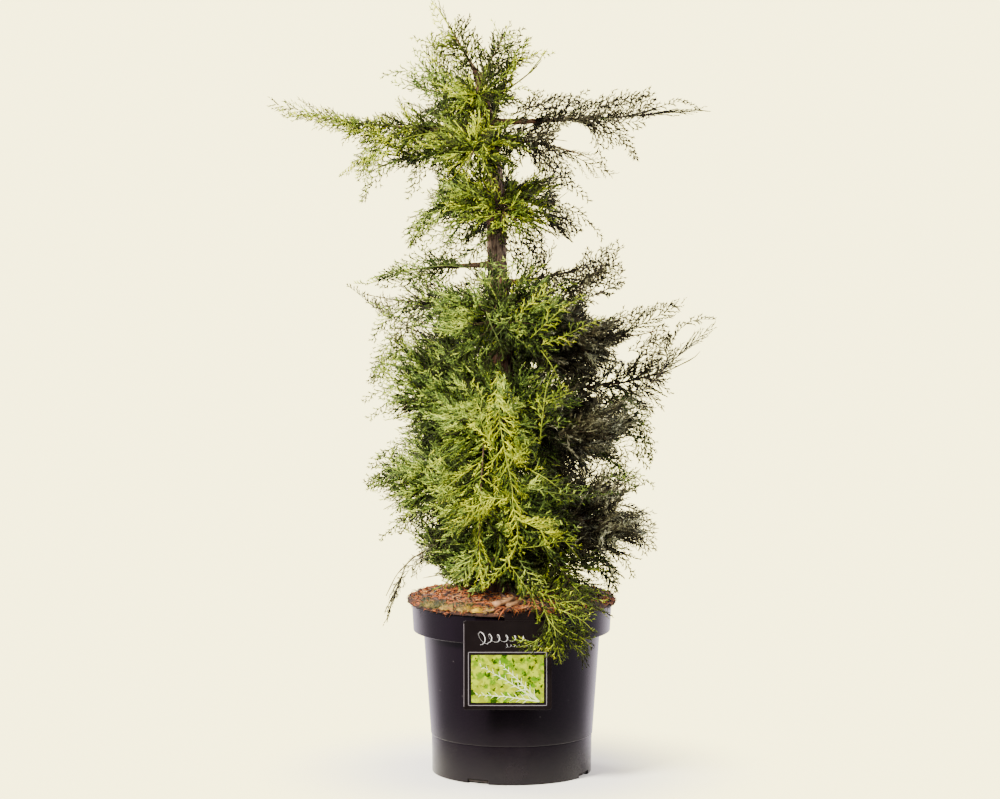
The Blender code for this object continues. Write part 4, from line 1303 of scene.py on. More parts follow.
# %% Leader and spiral
LEADER_TOP = Vector((-109 * MM, -6 * MM, GROUND + 812 * MM))
SPIRAL_COUNT = 15
SPIRAL_TOP = 384  # height of the first one's foot, at the front
SPIRAL_DROP = 25  # from each to the next
SPIRAL_TURN = 72  # degrees, five to a turn
SPIRAL_REACH = (168, 186)  # of the first and of the last
SPIRAL_REACH_RIGHT = 14  # more on the right, and as much less on the left
SPIRAL_RISE = -26  # their tips hang lower than their feet
SPIRAL_SIZE = (114, 70)  # half-width across, and up and down
SPIRAL_SHOOTS = 11
SPIRAL_TINTS = ("fresh", "shaded", "shaded", "fresh", "fresh")


def leader_bough():
    """The leader goes on from the trunk's tip."""
    run = LEADER_TOP - TRUNK_TIP
    bearing = math.degrees(math.atan2(run.x, -run.y))
    size = (TRUNK_TIP.z / MM, bearing, run.length / MM, run.z / MM)
    return Bough("leader", *size, 0, 52, 52, 0, 7, False, "bright")


def spiral_boughs():
    """The ribbon of dense foliage, from its top to its foot, five boughs to a turn."""
    for index in range(SPIRAL_COUNT):
        share = index / (SPIRAL_COUNT - 1)
        bearing = SPIRAL_TURN * index % 360
        reach = SPIRAL_REACH[0] + (SPIRAL_REACH[1] - SPIRAL_REACH[0]) * share
        reach += SPIRAL_REACH_RIGHT * math.sin(math.radians(bearing))
        place = (SPIRAL_TOP - SPIRAL_DROP * index, bearing, reach, SPIRAL_RISE, 0.6)
        tint = SPIRAL_TINTS[index % 5]
        yield Bough(f"spiral_{index + 1:02d}", *place, *SPIRAL_SIZE, 0, SPIRAL_SHOOTS, True, tint)


boughs = [leader_bough(), *LOOSE_BOUGHS, *spiral_boughs()]
own_number = {bough.name: index for index, bough in enumerate(boughs)}
print(f"{len(boughs)} boughs")

# %% Lines of the boughs
LINE_POINTS = 7


def bough_line(bough):
    """Points from the trunk to the bough's furthest tip."""
    centre, trunk_radius = trunk_at(bough.height * MM)
    bearing = math.radians(bough.bearing)
    out = Vector((math.sin(bearing), -math.cos(bearing), 0))
    foot = centre + trunk_radius * out
    run = bough.reach * MM - trunk_radius
    line = []
    for index in range(LINE_POINTS):
        t = index / (LINE_POINTS - 1)
        late = bough.bend * t * (1 - t)
        line.append(foot + run * (t + late) * out + Vector((0, 0, bough.rise * MM * (t - late))))
    return np.array(line)


leader_line = [TRUNK_TIP.lerp(LEADER_TOP, i / (LINE_POINTS - 1)) for i in range(LINE_POINTS)]
lines = np.array([np.array(leader_line), *(bough_line(bough) for bough in boughs[1:])])
print(f"furthest tip {np.linalg.norm(lines[:, -1, :2], axis=1).max():.3f} m from the axis")

# %% [markdown]
# The longer boughs are bare near the trunk. A bare bough is a tube that starts a little inside the
# trunk, flares where it leaves it and gets thinner, with the same strings of bark as relief.

# %% Bare boughs
BOUGH_RADIUS = 3 * MM
BOUGH_GROWTH = 0.006  # more for each unit of reach
BOUGH_TIP = 0.65  # radius at the end of the bare part against its foot
BOUGH_SIDES = 14
SUNK = 4 * MM  # how far a limb's foot is sunk in the trunk


def along(line, share):
    """Point and direction at a share of a line's length."""
    lengths = np.linalg.norm(np.diff(line, axis=0), axis=1)
    ends = np.concatenate([[0], np.cumsum(lengths)])
    where = share * ends[-1]
    place = np.array([np.interp(where, ends, line[:, axis]) for axis in range(3)])
    index = min(int(np.searchsorted(ends, where, side="right")) - 1, len(lengths) - 1)
    return place, unit(line[index + 1] - line[index])


def bough_relief(share, turn, place):
    """A flare where the bough leaves the trunk, and fine strings of bark."""
    strings = noise.noise(Vector(place) * 210)
    return 2.2 * MM * math.exp(-share / 0.10) + 0.55 * MM * strings


def bough_tubes():
    """The bare part of each bough, from inside the trunk to where its foliage starts."""
    for bough, line in zip(boughs, lines):
        if bough.bare:
            shares = np.linspace(0, bough.bare * 1.15, 26)
            points = [along(line, share)[0] for share in shares]
            points[0] = points[0] - along(line, 0)[1] * SUNK
            radius = BOUGH_RADIUS + bough.reach * MM * BOUGH_GROWTH
            radii = radius * np.linspace(1, BOUGH_TIP, len(shares))
            yield tube(points, radii, BOUGH_SIDES, bough_relief)


bare_boughs = [bough.name for bough in boughs if bough.bare]
bough_mesh = mesh_from("boughs", *merged(*bough_tubes()))
piece("bough_bark", bough_mesh, twig_bark, [f"{name}_bough" for name in bare_boughs])

# %% [markdown]
# A shoot may grow where it is nearer to its own bough's line than to any other, give or take an
# overlap, and where it is clear of the trunk, the pot and the label. These tests take many points
# at once and answer true or false for each.

# %% Space of each bough
OVERLAP = 50 * MM  # how far shoots mingle with those of the next bough
LIMB_MARGIN = 1.5 * MM
POT_KEEP = (COLLAR_RADIUS + 8 * MM, GROUND + 4 * MM)
LABEL_KEEP_X = (CARD_LOW.x - 3 * MM, CARD_HIGH.x + 3 * MM)
LABEL_KEEP_Y = CARD_LOW.y - 2 * MM
BOX_MARGIN = 8 * MM  # shoots may reach this far out of the solids' box


def away_from(points, line):
    """Distance of each point to a line of straight stretches, and where along it that is."""
    start, span = line[:-1], np.diff(line, axis=0)
    share = np.einsum("pij,ij->pi", points[:, None] - start[None], span) / (span**2).sum(1)
    share = np.clip(share, 0, 1)
    gaps = np.linalg.norm(points[:, None] - (start[None] + share[..., None] * span[None]), axis=2)
    nearest = gaps.argmin(1)
    rows = np.arange(len(points))
    return gaps[rows, nearest], nearest + share[rows, nearest]


trunk_axis = np.array([trunk_at(height)[0] for height, _, _ in TRUNK_LINE])
trunk_radii = [radius for _, _, radius in TRUNK_LINE]


def clear_of_solids(points):
    """Which points are clear of the trunk, pot and label, and within reach."""
    away, place = away_from(points, trunk_axis)
    fine = away > np.interp(place, range(len(trunk_radii)), trunk_radii) + LIMB_MARGIN
    radius = np.hypot(points[:, 0], points[:, 1])
    fine &= (radius > POT_KEEP[0]) | (points[:, 2] > POT_KEEP[1])
    by_label = (points[:, 0] > LABEL_KEEP_X[0]) & (points[:, 0] < LABEL_KEEP_X[1])
    behind = by_label & (points[:, 1] < 0) & (points[:, 1] >= LABEL_KEEP_Y)
    fine &= ~behind | (points[:, 2] > POT_KEEP[1])
    low, high = np.array(cad_low) - BOX_MARGIN, np.array(cad_high) + BOX_MARGIN
    return fine & ((points > low) & (points < high)).all(1)


def in_own_space(points, own):
    """Which points are about nearest to their own bough, and clear of the solids."""
    away = np.stack([away_from(points, line)[0] for line in lines], axis=1)
    rows = np.arange(len(points))
    mine = away[rows, own]
    away[rows, own] = np.inf
    return (mine < away.min(1) + OVERLAP) & clear_of_solids(points)


print("spaces ready")

# %% [markdown]
# ## The crown: plumes
#
# A juniper shoot is a plume. Side twigs leave its axis left and right, long near the foot and
# short at the tip, all bent forward, and each twig carries the same pattern again in small scaly
# spurs. First come the shoots' own axes. A loose bough carries them all round its stem, and a
# dense one has brown arms that carry several each.

# %% How full each bough is
FINER = 5  # shoots for each one of the plain solids
FINER_DENSE = 2.4  # the arms carry most of a dense bough's shoots
FULLER = dict(  # number of shoots, against the others
    top_upright=0.9, top_right=0.9, top_left=1.1, top_back=0.8, upper_left=1.3,
    upper_left_low=1.2, upper_front=1.5, upper_right=1.2, upper_right_low=0.8,
    upper_back_right=0.45, middle_left=0.5, middle_right=0.45, middle_front=0.55, middle_back=1.1,
    shoulder_left=0.7, shoulder_right=0.6, cascade=1.4, hem_spill=1.6, hem_front=1.8,
)
SLIMMER = dict(  # length of their shoots
    leader=0.8, upper_left=0.86, upper_left_low=0.86, top_right=0.75, top_back=0.8, top_upright=0.7,
    upper_right=0.55, upper_right_low=0.8, upper_back_right=0.75, shoulder_left=0.65,
    shoulder_right=0.75,
)
TRIM = dict(  # reach of dense boughs' outline
    middle_left=0.88, middle_right=0.72, middle_back=0.8, spiral_02=0.9, spiral_05=0.96,
    spiral_14=0.84, spiral_15=0.72,
)
print(f"{len(FULLER)} boughs have their own fullness")

# %% Shoots along a stem
GOLDEN_ANGLE = math.radians(137.5)
SHOOTS_FROM = 0.02
SHOOTS_TO = 0.96
SHOOT_LEAN = (42, 58)  # degrees off the stem
SHOOT_LEAN_MORE = 16  # at its foot
LONGEST_SHOOT = 118 * MM


def axes_along(ahead):
    """Side and up of a direction."""
    side = np.cross((0.0, 0.0, 1.0), ahead)
    side = unit(side) if np.linalg.norm(side) > 0.05 else np.array((0.0, 1.0, 0.0))
    return side, np.cross(ahead, side)


def round_stem(index, bough, ahead):
    """A way out from a bough's stem, as long as the bough is wide that way."""
    side, up = axes_along(ahead)
    turn = index * GOLDEN_ANGLE + rng.uniform(-0.4, 0.4)
    return side * math.cos(turn) * bough.across * MM + up * math.sin(turn) * bough.deep * MM


def plume_share(t):
    """Length of the shoots along a stem: less at its foot and tip."""
    return 0.66 + 0.34 * math.sin(math.pi * min(1, 0.15 + 0.9 * t))


def stem_shoots(own, bough, line):
    """Shoots all round a bough's stem, and the one that reaches its furthest tip."""
    finer = FINER_DENSE if bough.dense else FINER
    count = round(bough.shoots * finer * FULLER.get(bough.name, 1))
    reach = np.linalg.norm(np.diff(line, axis=0), axis=1).sum()
    tip = min(LONGEST_SHOOT, bough.reach * MM / 2)
    end = 1 - tip / reach
    start = max(bough.bare, 0.02)
    for index in range(count):
        t = 1 - (index + 0.5) / count
        share = start + (end - start) * (SHOOTS_FROM + (SHOOTS_TO - SHOOTS_FROM) * t)
        foot, ahead = along(line, share)
        out = round_stem(index, bough, ahead)
        lean = math.radians(rng.uniform(*SHOOT_LEAN) + SHOOT_LEAN_MORE * (1 - t))
        size = np.linalg.norm(out)
        length = min(LONGEST_SHOOT, size / math.sin(lean) * plume_share(t)) * rng.uniform(0.7, 1.08)
        length *= SLIMMER.get(bough.name, 1)
        yield foot, ahead * math.cos(lean) + out / size * math.sin(lean), length, own
    foot, ahead = along(line, end)
    yield foot, line[-1] - foot, np.linalg.norm(line[-1] - foot), own


stem_rows = []
for index, bough in enumerate(boughs):
    stem_rows += stem_shoots(index, bough, lines[index])
print(f"{len(stem_rows)} shoots on the stems")

# %% Arms
ARMS = 44  # of each dense bough
ARM_FROM, ARM_TO = 0.04, 0.72
ARM_LEAN = (56, 80)
ARM_LEAN_LESS = 42  # towards the tip
ARM_END = 0.72  # share of the bough's half-width
LEAST_ARM = 10 * MM
ARM_RADIUS = 0.9 * MM


def arms_of(own, bough, line):
    """A dense bough's arms, all round its stem, each as long as its own space allows."""
    shares = np.linspace(0.1, 1.0, 19)
    count = round(ARMS * FULLER.get(bough.name, 1))
    for index in range(count):
        t = (index + 0.5) / count
        foot, ahead = along(line, ARM_FROM + (ARM_TO - ARM_FROM) * t)
        out = round_stem(index, bough, ahead)
        size = np.linalg.norm(out)
        lean = math.radians(rng.uniform(*ARM_LEAN) - ARM_LEAN_LESS * t)
        heading = ahead * math.cos(lean) + out / size * math.sin(lean)
        full = heading * size * ARM_END * plume_share(t)
        fine = in_own_space(foot + full * shares[:, None], np.full(len(shares), own))
        clear = len(fine) if fine[2:].all() else int(np.argmin(fine[2:])) + 2
        length = np.linalg.norm(full) * shares[max(0, clear - 1)]
        if length > LEAST_ARM:
            yield foot, heading, length, own


def from_rows(rows, radius, bend_up=0.0):
    """Strands from rows of foot, heading, length and bough number."""
    foot, heading, length, own = (np.array(column) for column in zip(*rows))
    bend = random_headings(len(foot)) * 0.10 + (0, 0, bend_up)
    return strands(foot, heading, length, radius, bend=bend, own=own)


arm_rows = []
for index, bough in enumerate(boughs):
    if bough.dense:
        arm_rows += arms_of(index, bough, lines[index])
arms = from_rows(arm_rows, ARM_RADIUS, 0.06)
print(f"{len(arms.foot)} arms")

# %% Stems
STEM_FOOT = 1.7 * MM  # radius
STEM_GROWTH = 0.002  # more for each unit of reach
STEM_TIP = 0.22  # radius at its tip against its foot
STEM_SIDES = 7
STEM_END = (0.84, 0.66)  # share of its line that a loose and a dense bough's stem reaches


def stem_tubes():
    """Each bough's own stem, from where its foliage starts almost to its tip."""
    for bough, line in zip(boughs, lines):
        shares = np.linspace(bough.bare, STEM_END[bough.dense], 24)
        points = [along(line, share)[0] for share in shares]
        if bough.bare == 0:
            points[0] = points[0] - along(line, 0)[1] * SUNK
        foot = STEM_FOOT + bough.reach * MM * STEM_GROWTH
        radii = foot * np.linspace(1, STEM_TIP, len(shares))
        yield tube(points, radii, STEM_SIDES, bough_relief)


print("stems ready")

# %% [markdown]
# The dense part has a ragged but clear outline, a furrow where two turns of the spiral part, and
# a foot that clears the mulch. Through the loose tiers the sky shows in a few larger gaps. Both are
# tests on points again, and a shoot is cut short where it would leave its place or cover a gap.

# %% Outline and furrow
EDGE = (0.84, 1.10)  # the dense crown's ragged outline, as a share of each bough's reach
SKIRT = (6 * MM, 24 * MM)  # clear height over the mulch, and how much more there is on the left
GROOVE = (  # across, height and width of the furrow between two turns of the spiral, from the front
    (-41, 622, 12),
    (14, 564, 22),
    (74, 515, 46),
    (98, 450, 60),
    (92, 402, 44),
)
GROOVE_DEPTH = -112 * MM  # it is cut only in front of this
reaches = np.array([bough.reach * MM for bough in boughs])
outline = reaches * [TRIM.get(bough.name, 1) for bough in boughs]
dense = np.array([bough.dense for bough in boughs])


def in_groove(points):
    """Which points are in the furrow."""
    x, z, width = np.array(GROOVE).T * MM
    line = np.stack([x, 0 * x, z], axis=1)
    away, place = away_from(points * (1, 0, 1), line)
    return (away < np.interp(place, range(len(width)), width)) & (points[:, 1] < GROOVE_DEPTH)


def in_outline(points, own, edge):
    """Which points are inside a dense bough's edge and above the mulch."""
    middle = np.interp(points[:, 2], trunk_axis[:, 2], trunk_axis[:, 0])
    radius = np.hypot(points[:, 0] - middle, points[:, 1])
    skirt = GROUND + SKIRT[0] + SKIRT[1] * np.clip((-points[:, 0] - 0.05) / 0.07, 0, 1)
    return (radius < edge * outline[own]) & (points[:, 2] > skirt) & ~in_groove(points)


print(f"{dense.sum()} dense boughs")

# %% Gaps
SKY = (  # across, height, half-width and half-height of gaps in the crown, seen from the front
    (-119, 922, 15, 15), (-200, 906, 46, 8), (-162, 817, 22, 5), (-115, 809, 14, 14),
    (-126, 782, 8, 16), (12, 939, 11, 23), (81, 866, 18, 20), (15, 817, 15, 11),
    (72, 782, 8, 14), (72, 698, 23, 8), (128, 637, 26, 15), (152, 574, 9, 12),
    (157, 446, 14, 15), (168, 371, 18, 15), (-140, 291, 12, 26), (-113, 271, 12, 11),
    (-178, 583, 8, 12), (-152, 652, 15, 7),
)


def in_sky(points):
    """Which points would cover one of the gaps, seen from the camera's place."""
    eye = np.array(camera.location)
    nearer = (eye[1] / (eye[1] - points[:, 1]))[:, None]
    seen = (eye + (points - eye) * nearer)[:, (0, 2)]
    inside = np.zeros(len(points), bool)
    for x, z, half_width, half_height in SKY:
        offset = (seen - (x * MM, z * MM)) / (half_width * MM, half_height * MM)
        inside |= (offset**2).sum(1) < 1
    return inside


print(f"{len(SKY)} gaps")

# %% Cutting shoots short
LEAST_SHOOT = 22 * MM


def kept_to_space(group):
    """Strands shortened to the part that lies in their own bough's space."""
    shares = np.linspace(0.15, 1.0, 8)
    edge = rng.uniform(*EDGE, len(group.foot))
    inside = []
    for t in shares:
        points = point_on(group, t)
        fine = in_own_space(points, group.own) & ~in_sky(points)
        inside.append(fine & (in_outline(points, group.own, edge) | ~dense[group.own]))
    inside = np.stack(inside, axis=1)
    clear = np.where(inside.all(1), len(shares), np.argmin(inside, axis=1))
    share = np.where(clear > 0, shares[np.maximum(clear - 1, 0)], 0)
    wanted = share * group.length > LEAST_SHOOT
    shorter = group._replace(length=group.length * share, bend=group.bend * share[:, None])
    return picked(shorter, wanted)


print(f"shoots under {LEAST_SHOOT / MM:.0f} mm are dropped")

# %% Side shoots of the arms
ARM_SHOOTS = 7
SIDE_SHOOT = (38 * MM, 74 * MM)
SIDE_LEAN = (22, 56)
OUTWARD = 0.6  # how strongly shoots turn away from the trunk
SHOOT_RADIUS = 1.0 * MM


def side_shoots(arms):
    """Shoots up each arm, and one that carries on from its end."""
    rows = np.repeat(np.arange(len(arms.foot)), ARM_SHOOTS)
    place = np.tile(np.arange(ARM_SHOOTS), len(arms.foot))
    arm = picked(arms, rows)
    t = 1.0 - 0.85 * place / ARM_SHOOTS
    ahead = heading_on(arm, t)
    loose_way = random_headings(len(rows))
    out = unit(loose_way - ahead * (loose_way * ahead).sum(1, keepdims=True))
    lean = np.radians(rng.uniform(*SIDE_LEAN, len(rows))) * np.where(place == 0, 0.35, 1.0)
    foot = point_on(arm, t)
    away = foot - trunk_axis[3]
    away[:, 2] = 0
    heading = ahead * np.cos(lean)[:, None] + out * np.sin(lean)[:, None] + (0, 0, 0.15)
    heading = heading + OUTWARD * unit(away)
    length = rng.uniform(*SIDE_SHOOT, len(rows))
    bend = out * 0.06 + (0, 0, 0.08)
    face = unit(ahead + 0.7 * random_headings(len(rows)))
    return strands(foot, heading, length, SHOOT_RADIUS, bend=bend, face=face, own=arm.own)


print(f"{ARM_SHOOTS} shoots on each arm")

# %% [markdown]
# Deep inside, short shoots straight from the trunk close the view through the crown. They are most
# crowded near the ground and take the number of the dense bough that is nearest to their middle.

# %% Inner shoots
INNER = 320
INNER_HEIGHT = (12 * MM, 425 * MM)
INNER_LENGTH = (55 * MM, 105 * MM)


def inner_shoots():
    """Shoots that leave the trunk itself, crowded towards the ground, and stay in the shade."""
    height = INNER_HEIGHT[0] + (INNER_HEIGHT[1] - INNER_HEIGHT[0]) * rng.uniform(size=INNER) ** 1.4
    turn = rng.uniform(0, 2 * math.pi, INNER)
    out = around(turn)
    foot = np.array([trunk_at(h)[0] for h in height])
    foot += out * (np.array([trunk_at(h)[1] for h in height])[:, None] + 2 * LIMB_MARGIN)
    heading = out + random_headings(INNER) * 0.45
    heading[:, 2] -= 0.25 * np.exp(-height / 0.06)
    length = rng.uniform(*INNER_LENGTH, INNER)
    middle = foot + unit(heading) * (length / 2)[:, None]
    away = np.stack([away_from(middle, line)[0] for line in lines], axis=1)
    away[:, ~dense] = np.inf
    face = random_headings(INNER)
    return strands(foot, heading, length, SHOOT_RADIUS, face=face, own=away.argmin(1))


tips = from_rows(stem_rows, SHOOT_RADIUS, 0.02)
tips = tips._replace(face=unit(np.cross(tips.heading, random_headings(len(tips.foot)))))
shoots = kept_to_space(together(tips, side_shoots(arms), inner_shoots()))
print(f"{len(shoots.foot)} shoots")

# %% [markdown]
# ## The crown: long plumes
#
# The youngest shoots are the longest. They lie over the clipped mass, arch up at the right, stick
# out far beyond it as thin tips, and one weeps down the front almost to the pot. They decide how
# the plant looks, so each is listed: a line of points, and how wide its spray is.

# %% Table of plumes
Plume = namedtuple("Plume", "bough side width pale line")
